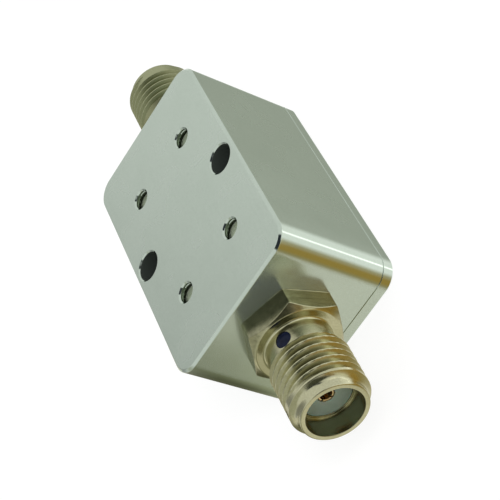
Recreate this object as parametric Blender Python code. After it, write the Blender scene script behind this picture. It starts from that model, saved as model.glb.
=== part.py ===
"""Coaxial RF bandpass filter in a milled housing, with a threaded jack at each end.

The part rests on its cover. The origin is the centre of the cover's outer face. +X runs along the
jacks towards port 1, +Y towards a long side, and +Z out of the face with the tapped holes.
Everything is in metres.
"""

import math

import bmesh
import bpy
from mathutils import Matrix

MM = 0.001

# Housing and cover
BODY_LENGTH = 24.6 * MM
BODY_WIDTH = 14.6 * MM
BODY_HEIGHT = 11.3 * MM
CORNER_RADIUS = 1.8 * MM
EDGE_BREAK = 0.2 * MM
PARTING_BREAK = 0.08 * MM
COVER_THICKNESS = 1.1 * MM
DECK_THICKNESS = 3.8 * MM
END_WALL = 2.6 * MM
SIDE_WALL = 1.4 * MM
POCKET_CORNER = 1.5 * MM

# Clearances
SEAT_GAP = 0.05 * MM
SOLDER_GAP = 0.03 * MM
BOARD_EDGE_GAP = 0.15 * MM

# Two through holes that fasten the filter to its panel
MOUNT_HOLE_RADIUS = 1.225 * MM
MOUNT_HOLE_INSET = 1.75 * MM
MOUNT_HOLE_CHAMFER = 0.2 * MM
MOUNT_BOSS_WALL = 1.1 * MM

# Board screws, M2 with a domed head
BOARD_SCREW_INSET_X = 6.05 * MM
BOARD_SCREW_LANE_MARGIN = 0.2 * MM
BOARD_SCREW_LENGTH = 4.0 * MM
BOARD_SCREW_TAP_RADIUS = 0.8 * MM
BOARD_SCREW_TAP_CHAMFER = 0.2 * MM
BOARD_SCREW_CLEARANCE = 0.3 * MM
BOARD_SCREW_HEAD_RADIUS = 1.75 * MM
BOARD_SCREW_HEAD_RIM = 0.6 * MM
BOARD_SCREW_HEAD_DOME = 0.7 * MM

# Cover screws, M1.6 with a countersunk head
COVER_SCREW_INSET = 1.8 * MM
COVER_SCREW_LENGTH = 4.0 * MM
COVER_SCREW_TAP_RADIUS = 0.625 * MM
COVER_SCREW_TAP_CHAMFER = 0.2 * MM
COVER_SCREW_CLEARANCE = 0.25 * MM
COVER_SCREW_HEAD_RADIUS = 1.45 * MM
COVER_SCREW_HEAD_RIM = 0.12 * MM
COVER_SCREW_POST_WALL = 0.9 * MM
COVER_SCREW_HOLE_SPARE = 0.6 * MM

# Both kinds of screw
SCREW_TIP_CHAMFER = 0.1 * MM
RECESS_DEPTH = 0.6 * MM
RECESS_HALF_WIDTH = 0.17 * MM
RECESS_REACH = 0.85 * MM
RECESS_TAPER = 0.55
DRILL_POINT_ANGLE = 31.0

# Jacks: lengths follow each other outwards from the end wall, angles are seen from the mouth
JACK_THREAD_RADIUS = 3.175 * MM
STEM_RECESS = 0.1 * MM
STEM_BORE_OVERRUN = 0.4 * MM
HEX_ACROSS_FLATS = 7.14 * MM
HEX_THICKNESS = 2.15 * MM
HEX_FACE_INSET = 0.17 * MM
HEX_CHAMFER_ANGLE = 38.0
HEX_TURN = 43.5
NECK_LENGTH = 1.8 * MM
THREAD_RAMP = 0.45 * MM
THREAD_LENGTH = 4.15 * MM
THREAD_PITCH = 25.4 / 36 * MM
THREAD_DEPTH = 0.43 * MM
THREAD_CREST = 0.09 * MM
THREAD_RUN_IN = 0.35 * MM
THREAD_FIRST_TURN = 115.0
NOSE_TAPER = 0.75 * MM
NOSE_LENGTH = 0.3 * MM
MOUTH_WALL = 0.4 * MM
MOUTH_DEPTH = 1.9 * MM
MOUTH_SHOULDER = 0.2 * MM
INSULATOR_RADIUS = 2.05 * MM
CONTACT_RADIUS = 0.635 * MM
CONTACT_HOLE_RADIUS = 0.46 * MM
CONTACT_HOLE_DEPTH = 2.5 * MM
CONTACT_SLOT_WIDTH = 0.16 * MM
CONTACT_SLOT_DEPTH = 1.8 * MM
CONTACT_WAIST_RADIUS = 0.48 * MM
CONTACT_TAIL = 1.2 * MM
CONTACT_TAIL_CHAMFER = 0.1 * MM
CONTACT_TO_BOARD = 0.173 * MM
EPOXY_RADIUS = 0.6 * MM
EPOXY_OFFSET = 1.1 * MM
EPOXY_TURN = 74.0
EPOXY_RECESS = 0.06 * MM

# Circuit board and what is soldered to it
BOARD_THICKNESS = 0.762 * MM
COIL_RADIUS = 0.9 * MM
COIL_WIRE_RADIUS = 0.18 * MM
COIL_PITCH = 0.52 * MM
COIL_WHOLE_TURNS = 3
COIL_LEG = 0.35 * MM
CHIP_LENGTH = 1.6 * MM
CHIP_WIDTH = 0.8 * MM
CHIP_HEIGHT = 0.75 * MM
CHIP_CAP_LENGTH = 0.35 * MM
CHIP_CAP_STEP = 0.03 * MM
SOLDER_LENGTH = 0.9 * MM
SOLDER_FOOT = 0.4 * MM
SOLDER_LIP = 0.08 * MM

# Faces round a full circle, along a quarter of one, and along one turn of a coil
JACK_FACES = 36
HOLE_FACES = 24
SCREW_FACES = 18
CORNER_FACES = 7
FILLET_FACES = 5
COIL_FACES = 10

# How far a cutter runs past the face that it opens, and how close two points count as one
PAST = 0.5 * MM
MERGE = 0.0001 * MM

# Heights and distances that follow from the sizes above
BODY_END = BODY_LENGTH / 2
BODY_SIDE = BODY_WIDTH / 2
HOUSING_BOTTOM = COVER_THICKNESS + SEAT_GAP
POCKET_END = BODY_END - END_WALL
POCKET_SIDE = BODY_SIDE - SIDE_WALL
POCKET_TOP = BODY_HEIGHT - DECK_THICKNESS
BOARD_TOP = POCKET_TOP - SEAT_GAP
BOARD_UNDERSIDE = BOARD_TOP - BOARD_THICKNESS
SOLDER_SIDE = BOARD_UNDERSIDE - SOLDER_GAP
JACK_AXIS_Z = BOARD_UNDERSIDE - CONTACT_TO_BOARD - CONTACT_RADIUS
MOUNT_BOSS_RADIUS = MOUNT_HOLE_RADIUS + MOUNT_BOSS_WALL
COVER_POST_RADIUS = COVER_SCREW_TAP_RADIUS + COVER_SCREW_POST_WALL

# Radii and stations of a jack, along its axis from the end wall's outer face
STEM_END = END_WALL - STEM_RECESS
TAIL_END = END_WALL + CONTACT_TAIL
NECK_END = HEX_THICKNESS + NECK_LENGTH
THREAD_END = NECK_END + THREAD_RAMP + THREAD_LENGTH
NOSE_START = THREAD_END + NOSE_TAPER
JACK_REACH = NOSE_START + NOSE_LENGTH
MOUTH_FLOOR = JACK_REACH - MOUTH_DEPTH
EPOXY_PLACE = HEX_THICKNESS + EPOXY_OFFSET
GROOVE_HALF_WIDTH = (THREAD_PITCH - THREAD_CREST) / 2
FIRST_GROOVE = THREAD_END - THREAD_RUN_IN
INSULATOR_BORE = INSULATOR_RADIUS + SEAT_GAP
MOUTH_RADIUS = INSULATOR_BORE + MOUTH_SHOULDER
NECK_RADIUS = MOUTH_RADIUS + MOUTH_WALL
CONTACT_BORE = CONTACT_RADIUS + SEAT_GAP
HEX_CORNER_RADIUS = HEX_ACROSS_FLATS / math.sqrt(3)

# (x, y) places of the holes; a board screw stands midway between the side wall and the chips' lane
MOUNT_HOLES = [(0.0, side * (BODY_SIDE - MOUNT_HOLE_INSET)) for side in (1, -1)]
BOARD_SCREW_OFFSET = (POCKET_SIDE + CHIP_WIDTH / 2 + BOARD_SCREW_LANE_MARGIN) / 2
BOARD_SCREWS = [
    (end * (BODY_END - BOARD_SCREW_INSET_X), side * BOARD_SCREW_OFFSET)
    for end in (1, -1)
    for side in (1, -1)
]
COVER_SCREWS = [
    (end * (BODY_END - COVER_SCREW_INSET), side * (BODY_SIDE - COVER_SCREW_INSET))
    for end in (1, -1)
    for side in (1, -1)
]


def clear_scene():
    """Remove every object that the file opened with."""
    for obj in list(bpy.data.objects):
        bpy.data.objects.remove(obj, do_unlink=True)


def make_material(name, colour, roughness, metallic):
    """Principled material of one plain colour."""
    material = bpy.data.materials.new(name)
    material.use_nodes = True
    shader = material.node_tree.nodes["Principled BSDF"]
    shader.inputs["Base Color"].default_value = (*colour, 1.0)
    shader.inputs["Roughness"].default_value = roughness
    shader.inputs["Metallic"].default_value = metallic
    material.diffuse_color = (*colour, 1.0)
    return material


def add_object(name, data, material=None, parent=None):
    """Object in the scene, in its material and on its parent."""
    obj = bpy.data.objects.new(name, data)
    bpy.context.scene.collection.objects.link(obj)
    obj.parent = parent
    if material and not data.materials:
        data.materials.append(material)
    return obj


def add_piece(name, mesh, material, parent=None):
    """Object of a mesh that is shaded smooth over its round faces."""
    mesh.shade_smooth()
    mesh.set_sharp_from_angle(angle=math.radians(30))
    return add_object(name, mesh, material, parent)


def carved(mesh, *tools):
    """The mesh without the volume of each tool."""
    blank = add_object(mesh.name, mesh)
    cutters = []
    for tool in tools:
        cutter = add_object(tool.name, tool)
        cutter.hide_render = True
        cutter.display_type = "WIRE"
        modifier = blank.modifiers.new(tool.name, "BOOLEAN")
        modifier.operation = "DIFFERENCE"
        modifier.solver = "EXACT"
        modifier.object = cutter
        cutters.append(cutter)
    evaluated = blank.evaluated_get(bpy.context.evaluated_depsgraph_get())
    result = bpy.data.meshes.new_from_object(evaluated)
    for obj in [blank, *cutters]:
        bpy.data.objects.remove(obj, do_unlink=True)
    return result


def to_mesh(name, bm):
    """Mesh from a bmesh, with its faces pointing out."""
    bmesh.ops.recalc_face_normals(bm, faces=bm.faces)
    mesh = bpy.data.meshes.new(name)
    bm.to_mesh(mesh)
    bm.free()
    return mesh


def verts_of(result):
    """Vertices among what a bmesh operator returned."""
    return [item for item in result["geom"] if isinstance(item, bmesh.types.BMVert)]


def turned(name, profile, faces, closed=False):
    """Solid turned about Z from (radius, height) points; a closed profile leaves a bore."""
    bm = bmesh.new()
    verts = [bm.verts.new((radius, 0.0, height)) for radius, height in profile]
    edges = [bm.edges.new(pair) for pair in zip(verts, verts[1:])]
    if closed:
        edges.append(bm.edges.new((verts[-1], verts[0])))
    bmesh.ops.spin(
        bm,
        geom=verts + edges,
        cent=(0, 0, 0),
        axis=(0, 0, 1),
        angle=2 * math.pi,
        steps=faces,
        use_merge=True,
    )
    bmesh.ops.remove_doubles(bm, verts=bm.verts, dist=MERGE)
    return to_mesh(name, bm)


def cylinder(name, radius, low, high, faces):
    """Plain cylinder about Z."""
    return turned(name, [(0.0, low), (radius, low), (radius, high), (0.0, high)], faces)


def extruded(name, outline, low, high, low_scale=1.0, high_scale=1.0):
    """Solid from an (x, y) outline, drawn up from one height to another with its own size at each."""
    bm = bmesh.new()
    face = bm.faces.new([bm.verts.new((x * low_scale, y * low_scale, low)) for x, y in outline])
    top = verts_of(bmesh.ops.extrude_face_region(bm, geom=[face]))
    size = high_scale / low_scale
    bmesh.ops.scale(bm, verts=top, vec=(size, size, 1.0))
    bmesh.ops.translate(bm, verts=top, vec=(0, 0, high - low))
    return to_mesh(name, bm)


def cross_outline(half_width, reach):
    """(x, y) outline of a plus sign: two corners at each arm's end and one beside it."""
    arm = [(reach, -half_width), (reach, half_width), (half_width, half_width)]
    outline = []
    for turn in range(4):
        cos, sin = math.cos(turn * math.pi / 2), math.sin(turn * math.pi / 2)
        outline += [(x * cos - y * sin, x * sin + y * cos) for x, y in arm]
    return outline


def rounded_block(name, half_length, half_width, low, high, corner, low_break=0.0, high_break=0.0):
    """Block with round upright corners and, where given, broken edges round its two faces."""
    bm = bmesh.new()
    bmesh.ops.create_cube(bm, size=1.0)
    bmesh.ops.scale(bm, verts=bm.verts, vec=(2 * half_length, 2 * half_width, high - low))
    bmesh.ops.translate(bm, verts=bm.verts, vec=(0, 0, (low + high) / 2))
    upright = [edge for edge in bm.edges if abs(edge.verts[0].co.z - edge.verts[1].co.z) > MERGE]
    bmesh.ops.bevel(bm, geom=upright, offset=corner, segments=CORNER_FACES, profile=0.5, affect="EDGES")
    for level, size in ((low, low_break), (high, high_break)):
        if size > 0:
            rim = [edge for edge in bm.edges if all(abs(v.co.z - level) < MERGE for v in edge.verts)]
            bmesh.ops.bevel(bm, geom=rim, offset=size, segments=1, profile=0.5, affect="EDGES")
    return to_mesh(name, bm)


def repeated(mesh, points):
    """Mesh with a copy of the given one at each (x, y) point."""
    bm = bmesh.new()
    for x, y in points:
        copy = mesh.copy()
        copy.transform(Matrix.Translation((x, y, 0)))
        bm.from_mesh(copy)
        bpy.data.meshes.remove(copy)
    return to_mesh(mesh.name, bm)


def pocket_outline(name, low, high, margin):
    """The pocket's outline from one height to another, kept clear of all that bounds it by a margin."""
    block = rounded_block(
        name, POCKET_END - margin, POCKET_SIDE - margin, low, high, POCKET_CORNER - margin
    )
    reach = (low - PAST, high + PAST)
    bosses = repeated(cylinder("bosses", MOUNT_BOSS_RADIUS + margin, *reach, HOLE_FACES), MOUNT_HOLES)
    posts = repeated(cylinder("posts", COVER_POST_RADIUS + margin, *reach, HOLE_FACES), COVER_SCREWS)
    return carved(block, bosses, posts)


def mount_hole_tool():
    """Drills for the two holes that run through the housing and the cover, chamfered at both faces."""
    wide = MOUNT_HOLE_RADIUS + MOUNT_HOLE_CHAMFER + PAST
    profile = [
        (0.0, -PAST),
        (wide, -PAST),
        (MOUNT_HOLE_RADIUS, MOUNT_HOLE_CHAMFER),
        (MOUNT_HOLE_RADIUS, BODY_HEIGHT - MOUNT_HOLE_CHAMFER),
        (wide, BODY_HEIGHT + PAST),
        (0.0, BODY_HEIGHT + PAST),
    ]
    return repeated(turned("mount_holes", profile, HOLE_FACES), MOUNT_HOLES)


def board_screw_tool():
    """Tap drills for the board screws, through the deck and chamfered at its outer face."""
    radius = BOARD_SCREW_TAP_RADIUS
    profile = [
        (0.0, POCKET_TOP - PAST),
        (radius, POCKET_TOP - PAST),
        (radius, BODY_HEIGHT - BOARD_SCREW_TAP_CHAMFER),
        (radius + BOARD_SCREW_TAP_CHAMFER + PAST, BODY_HEIGHT + PAST),
        (0.0, BODY_HEIGHT + PAST),
    ]
    return repeated(turned("board_screw_holes", profile, HOLE_FACES), BOARD_SCREWS)


def cover_screw_tool():
    """Tap drills for the cover screws: blind, with a drill point, chamfered at the parting face."""
    radius = COVER_SCREW_TAP_RADIUS
    depth = SEAT_GAP + COVER_SCREW_LENGTH + COVER_SCREW_HOLE_SPARE
    profile = [
        (0.0, HOUSING_BOTTOM - PAST),
        (radius + COVER_SCREW_TAP_CHAMFER + PAST, HOUSING_BOTTOM - PAST),
        (radius, HOUSING_BOTTOM + COVER_SCREW_TAP_CHAMFER),
        (radius, depth),
        (0.0, depth + radius * math.tan(math.radians(DRILL_POINT_ANGLE))),
    ]
    return repeated(turned("cover_screw_holes", profile, SCREW_FACES), COVER_SCREWS)


def stem_tool(end):
    """Bore for a jack's stem through the end wall at +X or -X."""
    inner, outer = POCKET_END - STEM_BORE_OVERRUN, BODY_END + PAST
    bore = cylinder("stem_bore", JACK_THREAD_RADIUS + SEAT_GAP, inner, outer, JACK_FACES)
    lay = Matrix.Rotation(end * math.pi / 2, 4, "Y")
    bore.transform(Matrix.Translation((0, 0, JACK_AXIS_Z)) @ lay)
    return bore


def make_housing(material):
    """Milled block with the pocket, all its holes and the two bores for the jacks."""
    block = rounded_block(
        "housing", BODY_END, BODY_SIDE, HOUSING_BOTTOM, BODY_HEIGHT, CORNER_RADIUS, PARTING_BREAK, EDGE_BREAK
    )
    mesh = carved(
        block,
        pocket_outline("pocket", HOUSING_BOTTOM - PAST, POCKET_TOP, 0.0),
        mount_hole_tool(),
        board_screw_tool(),
        cover_screw_tool(),
        stem_tool(1),
        stem_tool(-1),
    )
    return add_piece("housing", mesh, material)


def make_cover(material):
    """Plate that closes the pocket, with four countersunk holes at its corners."""
    plate = rounded_block(
        "cover", BODY_END, BODY_SIDE, 0.0, COVER_THICKNESS, CORNER_RADIUS, EDGE_BREAK, PARTING_BREAK
    )
    seat = COVER_SCREW_HEAD_RADIUS + SEAT_GAP
    rim = COVER_SCREW_HEAD_RIM + SEAT_GAP
    hole = COVER_SCREW_TAP_RADIUS + COVER_SCREW_CLEARANCE
    profile = [
        (0.0, -PAST),
        (seat, -PAST),
        (seat, rim),
        (hole, rim + seat - hole),
        (hole, COVER_THICKNESS + PAST),
        (0.0, COVER_THICKNESS + PAST),
    ]
    countersinks = repeated(turned("countersinks", profile, HOLE_FACES), COVER_SCREWS)
    return add_piece("cover", carved(plate, mount_hole_tool(), countersinks), material)


def recess_tool(mouth):
    """Tapered cross that sinks upwards into a screw's head from its mouth's height."""
    outline = cross_outline(RECESS_HALF_WIDTH, RECESS_REACH)
    start = 1.0 + (1.0 - RECESS_TAPER) * PAST / RECESS_DEPTH
    return extruded("recess", outline, mouth - PAST, mouth + RECESS_DEPTH, start, RECESS_TAPER)


def screw_end(shank, length):
    """Profile of a screw's plain shank from its head to its chamfered tip."""
    return [
        (shank, length - SCREW_TIP_CHAMFER),
        (shank - SCREW_TIP_CHAMFER, length),
        (0.0, length),
    ]


def board_screw_mesh():
    """Screw with its seat at z = 0, a domed head below it and its tip at the top."""
    shank = BOARD_SCREW_TAP_RADIUS - SEAT_GAP
    dome = []
    for step in range(FILLET_FACES + 1):
        angle = math.radians(90) * step / FILLET_FACES
        height = BOARD_SCREW_HEAD_RIM + BOARD_SCREW_HEAD_DOME * math.cos(angle)
        dome.append((BOARD_SCREW_HEAD_RADIUS * math.sin(angle), -height))
    profile = dome + [(BOARD_SCREW_HEAD_RADIUS, 0.0), (shank, 0.0)] + screw_end(shank, BOARD_SCREW_LENGTH)
    solid = turned("board_screw", profile, SCREW_FACES)
    return carved(solid, recess_tool(-BOARD_SCREW_HEAD_RIM - BOARD_SCREW_HEAD_DOME))


def cover_screw_mesh():
    """Countersunk screw with its head's flat face at z = 0 and its tip at the top."""
    shank = COVER_SCREW_TAP_RADIUS - SEAT_GAP
    head, rim = COVER_SCREW_HEAD_RADIUS, COVER_SCREW_HEAD_RIM
    cone = [(0.0, 0.0), (head, 0.0), (head, rim), (shank, rim + head - shank)]
    solid = turned("cover_screw", cone + screw_end(shank, COVER_SCREW_LENGTH), SCREW_FACES)
    return carved(solid, recess_tool(0.0))


def make_screws(material):
    """Four screws that hold the board against the deck, and four that hold the cover."""
    mesh = board_screw_mesh()
    for number, (x, y) in enumerate(BOARD_SCREWS, 1):
        screw = add_piece(f"board_screw_{number}", mesh, material)
        screw.location = (x, y, BOARD_UNDERSIDE - SEAT_GAP)
    mesh = cover_screw_mesh()
    for number, (x, y) in enumerate(COVER_SCREWS, 1):
        screw = add_piece(f"cover_screw_{number}", mesh, material)
        screw.location = (x, y, SEAT_GAP)


def local_turn(degrees):
    """Angle about a jack's own Z for one seen from port 1's mouth, counted from +Y towards +Z."""
    return math.radians(90 + degrees)


def hexagon_tool():
    """Tube with a six-sided hole, which leaves the jack's flats when it is cut away."""
    bm = bmesh.new()
    turn = Matrix.Rotation(local_turn(HEX_TURN), 4, "Z")
    for radius in (HEX_CORNER_RADIUS, 2 * HEX_CORNER_RADIUS):
        bmesh.ops.create_circle(bm, segments=6, radius=radius, matrix=turn)
    bmesh.ops.bridge_loops(bm, edges=bm.edges[:])
    bmesh.ops.translate(bm, verts=bm.verts, vec=(0, 0, -PAST))
    wall = verts_of(bmesh.ops.extrude_face_region(bm, geom=bm.faces[:]))
    bmesh.ops.translate(bm, verts=wall, vec=(0, 0, HEX_THICKNESS + 2 * PAST))
    return to_mesh("hexagon", bm)


def epoxy_tool():
    """Drill for the epoxy hole, from the jack's axis out through its neck."""
    drill = cylinder("epoxy_drill", EPOXY_RADIUS, 0.0, NECK_RADIUS + PAST, SCREW_FACES)
    aim = Matrix.Rotation(local_turn(EPOXY_TURN), 4, "Z") @ Matrix.Rotation(math.pi / 2, 4, "Y")
    drill.transform(Matrix.Translation((0, 0, EPOXY_PLACE)) @ aim)
    return drill


def thread_angles():
    """Angles once round a jack, which end where the thread's groove starts at the nose."""
    first = local_turn(THREAD_FIRST_TURN)
    return [first - 2 * math.pi * (1 - step / JACK_FACES) for step in range(JACK_FACES + 1)]


def ring(bm, radius, height):
    """Vertices once round a jack's axis, the first one again at the end."""
    turns = thread_angles()[:-1]
    verts = [bm.verts.new((radius * math.cos(t), radius * math.sin(t), height)) for t in turns]
    return verts + verts[:1]


def groove_rows(bm):
    """Rows of the thread's V groove from the neck to the nose: each climbs a pitch in one turn.

    A turn's three rows are its edges and its root, and where a row ends, that of the next turn begins.
    """
    turns = math.ceil((FIRST_GROOVE + GROOVE_HALF_WIDTH - NECK_END) / THREAD_PITCH)
    slope = (JACK_THREAD_RADIUS - NECK_RADIUS) / THREAD_RAMP
    rows = []
    for turn in reversed(range(turns)):
        for offset, depth in ((-GROOVE_HALF_WIDTH, 0.0), (0.0, THREAD_DEPTH), (GROOVE_HALF_WIDTH, 0.0)):
            row = []
            for step, angle in enumerate(thread_angles()):
                height = FIRST_GROOVE + offset - THREAD_PITCH * (turn + 1 - step / JACK_FACES)
                starts = turn == 0 and step == JACK_FACES
                ramp = NECK_RADIUS + max(0.0, height - NECK_END) * slope
                radius = min(ramp, JACK_THREAD_RADIUS - (0.0 if starts else depth))
                joins = step == JACK_FACES and turn > 0
                place = (radius * math.cos(angle), radius * math.sin(angle), height)
                row.append(None if joins else bm.verts.new(place))
            rows.append(row)
    for row, next_turn in zip(rows, rows[3:]):
        row[-1] = next_turn[0]
    return rows


def threaded_body(name, before, after):
    """Closed solid of (radius, height) points before the thread, the thread, and the points after it."""
    bm = bmesh.new()
    low = [ring(bm, *point) for point in before]
    high = [ring(bm, *point) for point in after]
    rows = groove_rows(bm)
    for near, far in [*zip(low, low[1:]), *zip(rows, rows[1:]), *zip(high, high[1:]), (high[-1], low[0])]:
        for i in range(JACK_FACES):
            bm.faces.new((near[i], near[i + 1], far[i + 1], far[i]))
    return close_thread(name, bm, low[-1], high[0], rows)


def close_thread(name, bm, neck, nose, rows):
    """Faces between the thread's first and last rows and the plain rings beside them."""
    last = JACK_FACES - 1
    for i in range(JACK_FACES):
        start = [row[0] for row in reversed(rows[:4])] if i == last else [rows[0][i + 1]]
        bm.faces.new([neck[i + 1], neck[i], rows[0][i], *start])
        stop = [row[-1] for row in rows[-3:]] if i == 0 else []
        bm.faces.new([nose[i], nose[i + 1], rows[-1][i + 1], rows[-1][i], *stop])
    return to_mesh(name, bm)


def jack_body_mesh():
    """Stem, chamfered hexagon, neck, helical thread, nose and mouth in one piece."""
    flange = HEX_CORNER_RADIUS + SEAT_GAP
    hex_face = HEX_ACROSS_FLATS / 2 - HEX_FACE_INSET
    chamfer = (flange - hex_face) * math.tan(math.radians(HEX_CHAMFER_ANGLE))
    before = [
        (INSULATOR_BORE, -STEM_END),
        (JACK_THREAD_RADIUS, -STEM_END),
        (JACK_THREAD_RADIUS, SEAT_GAP),
        (flange, SEAT_GAP),
        (flange, HEX_THICKNESS - chamfer),
        (hex_face, HEX_THICKNESS),
        (NECK_RADIUS, HEX_THICKNESS),
    ]
    after = [
        (JACK_THREAD_RADIUS, THREAD_END),
        (NECK_RADIUS, NOSE_START),
        (NECK_RADIUS, JACK_REACH),
        (MOUTH_RADIUS, JACK_REACH),
        (MOUTH_RADIUS, MOUTH_FLOOR),
        (INSULATOR_BORE, MOUTH_FLOOR),
    ]
    solid = threaded_body("port_body", before, after)
    return carved(solid, hexagon_tool(), epoxy_tool())


def insulator_mesh():
    """Tube round the contact, from the mouth's floor to the stem's end, drilled for the epoxy."""
    profile = [
        (CONTACT_BORE, -STEM_END),
        (INSULATOR_RADIUS, -STEM_END),
        (INSULATOR_RADIUS, MOUTH_FLOOR),
        (CONTACT_BORE, MOUTH_FLOOR),
    ]
    return carved(turned("port_insulator", profile, HOLE_FACES, closed=True), epoxy_tool())


def contact_mesh():
    """Pin with a slotted socket at the mouth, a waist that the epoxy locks, and a tail on the board."""
    waist = EPOXY_RADIUS + SEAT_GAP
    profile = [
        (0.0, -TAIL_END),
        (CONTACT_RADIUS - CONTACT_TAIL_CHAMFER, -TAIL_END),
        (CONTACT_RADIUS, -TAIL_END + CONTACT_TAIL_CHAMFER),
        (CONTACT_RADIUS, EPOXY_PLACE - waist),
        (CONTACT_WAIST_RADIUS, EPOXY_PLACE - waist),
        (CONTACT_WAIST_RADIUS, EPOXY_PLACE + waist),
        (CONTACT_RADIUS, EPOXY_PLACE + waist),
        (CONTACT_RADIUS, MOUTH_FLOOR),
        (CONTACT_HOLE_RADIUS, MOUTH_FLOOR),
        (CONTACT_HOLE_RADIUS, MOUTH_FLOOR - CONTACT_HOLE_DEPTH),
        (0.0, MOUTH_FLOOR - CONTACT_HOLE_DEPTH),
    ]
    outline = cross_outline(CONTACT_SLOT_WIDTH / 2, CONTACT_RADIUS + PAST)
    slots = extruded("slots", outline, MOUTH_FLOOR - CONTACT_SLOT_DEPTH, MOUTH_FLOOR + PAST)
    return carved(turned("port_contact", profile, SCREW_FACES), slots)


def epoxy_mesh():
    """Plug that fills the drilled hole from the contact's waist to just inside the neck."""
    low, high = CONTACT_WAIST_RADIUS + SEAT_GAP, NECK_RADIUS - EPOXY_RECESS
    return cylinder("port_epoxy", EPOXY_RADIUS - SEAT_GAP, low, high, SCREW_FACES)


def arc(radius, first, last, steps):
    """(x, y) points along a circle's arc between two angles in degrees."""
    angles = [math.radians(first + (last - first) * step / steps) for step in range(steps + 1)]
    return [(radius * math.cos(angle), radius * math.sin(angle)) for angle in angles]


def solder_mesh():
    """Fillets of solder that climb from the board's pad, on -X here, to both sides of the contact."""
    inner = CONTACT_BORE
    top = inner + SOLDER_LIP
    pad = SOLDER_SIDE - JACK_AXIS_Z
    hollow = arc(1.0, 0, 90, FILLET_FACES)
    side = [(-pad * x, top + SOLDER_FOOT * (1 - y)) for x, y in hollow]
    seat = arc(inner, 90, 270, 2 * FILLET_FACES)
    outline = side + seat + [(x, -y) for x, y in reversed(side)]
    low = -TAIL_END + SEAT_GAP
    return extruded("port_solder", outline, low, low + SOLDER_LENGTH)


def make_jacks(finishes):
    """Two equal jacks: port 1 points along +X, and port 2 is it turned half round the vertical."""
    meshes = {
        "body": jack_body_mesh(),
        "insulator": insulator_mesh(),
        "contact": contact_mesh(),
        "epoxy": epoxy_mesh(),
        "solder": solder_mesh(),
    }
    for number, end, turn in ((1, 1, 0.0), (2, -1, math.pi)):
        axis = add_object(f"port_{number}", None)
        axis.location = (end * BODY_END, 0, JACK_AXIS_Z)
        axis.rotation_euler = (0, math.pi / 2, turn)
        for part, mesh in meshes.items():
            piece = add_piece(f"port_{number}_{part}", mesh, finishes[part], axis)
            if part == "epoxy":
                piece.location = (0, 0, EPOXY_PLACE)
                piece.rotation_euler = (0, math.pi / 2, local_turn(EPOXY_TURN))


def make_board(material):
    """Board that follows the pocket's outline, with a hole for each board screw."""
    radius = BOARD_SCREW_TAP_RADIUS + BOARD_SCREW_CLEARANCE
    holes = cylinder("board_holes", radius, BOARD_UNDERSIDE - PAST, BOARD_TOP + PAST, HOLE_FACES)
    outline = pocket_outline("circuit_board", BOARD_UNDERSIDE, BOARD_TOP, BOARD_EDGE_GAP)
    return add_piece("circuit_board", carved(outline, repeated(holes, BOARD_SCREWS)), material)


def coil_points():
    """Centre line of a coil about local X: down one leg, round the turns and a half, up the other."""
    turns = COIL_WHOLE_TURNS + 0.5
    half_length = COIL_PITCH * turns / 2
    steps = round(COIL_FACES * turns)
    leg_top = COIL_RADIUS + COIL_LEG
    points = [(-half_length, COIL_RADIUS, leg_top)]
    for step in range(steps + 1):
        angle = -2 * math.pi * turns * step / steps
        along = half_length * (2 * step / steps - 1)
        points.append((along, COIL_RADIUS * math.cos(angle), COIL_RADIUS * math.sin(angle)))
    points.append((half_length, -COIL_RADIUS, leg_top))
    return points


def make_coil(name, x, turn, material):
    """Air-wound coil that hangs from the board on its two legs."""
    curve = bpy.data.curves.new(name, "CURVE")
    curve.dimensions = "3D"
    curve.bevel_depth = COIL_WIRE_RADIUS
    curve.bevel_resolution = 1
    curve.use_fill_caps = True
    points = coil_points()
    spline = curve.splines.new("POLY")
    spline.points.add(len(points) - 1)
    for point, place in zip(spline.points, points):
        point.co = (*place, 1.0)
    coil = add_object(name, curve, material)
    coil.location = (x, 0, SOLDER_SIDE - COIL_RADIUS - COIL_LEG)
    coil.rotation_euler = (0, 0, turn)
    return coil


def chip_mesh():
    """Chip with a slightly larger cap at each end, lying along X and standing down from z = 0."""
    half, inner = CHIP_LENGTH / 2, CHIP_LENGTH / 2 - CHIP_CAP_LENGTH
    stations = [(-half, 0.0), (-inner, 0.0), (-inner, CHIP_CAP_STEP)]
    stations += [(-x, shrink) for x, shrink in reversed(stations)]
    bm = bmesh.new()
    rings = []
    for x, shrink in stations:
        side, low, high = CHIP_WIDTH / 2 - shrink, -CHIP_HEIGHT + shrink, -shrink
        corners = ((side, low), (side, high), (-side, high), (-side, low))
        rings.append([bm.verts.new((x, y, z)) for y, z in corners])
    for near, far in zip(rings, rings[1:]):
        for i in range(4):
            bm.faces.new((near[i], near[i - 1], far[i - 1], far[i]))
    bm.faces.new(rings[0])
    bm.faces.new(rings[-1])
    return to_mesh("chip", bm)


def in_line(lengths, span):
    """Centres of pieces laid in a line between -span and span, with equal gaps round each."""
    gap = (2 * span - sum(lengths)) / (len(lengths) + 1)
    centres = []
    edge = -span
    for length in lengths:
        centres.append(edge + gap + length / 2)
        edge += gap + length
    return centres


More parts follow.
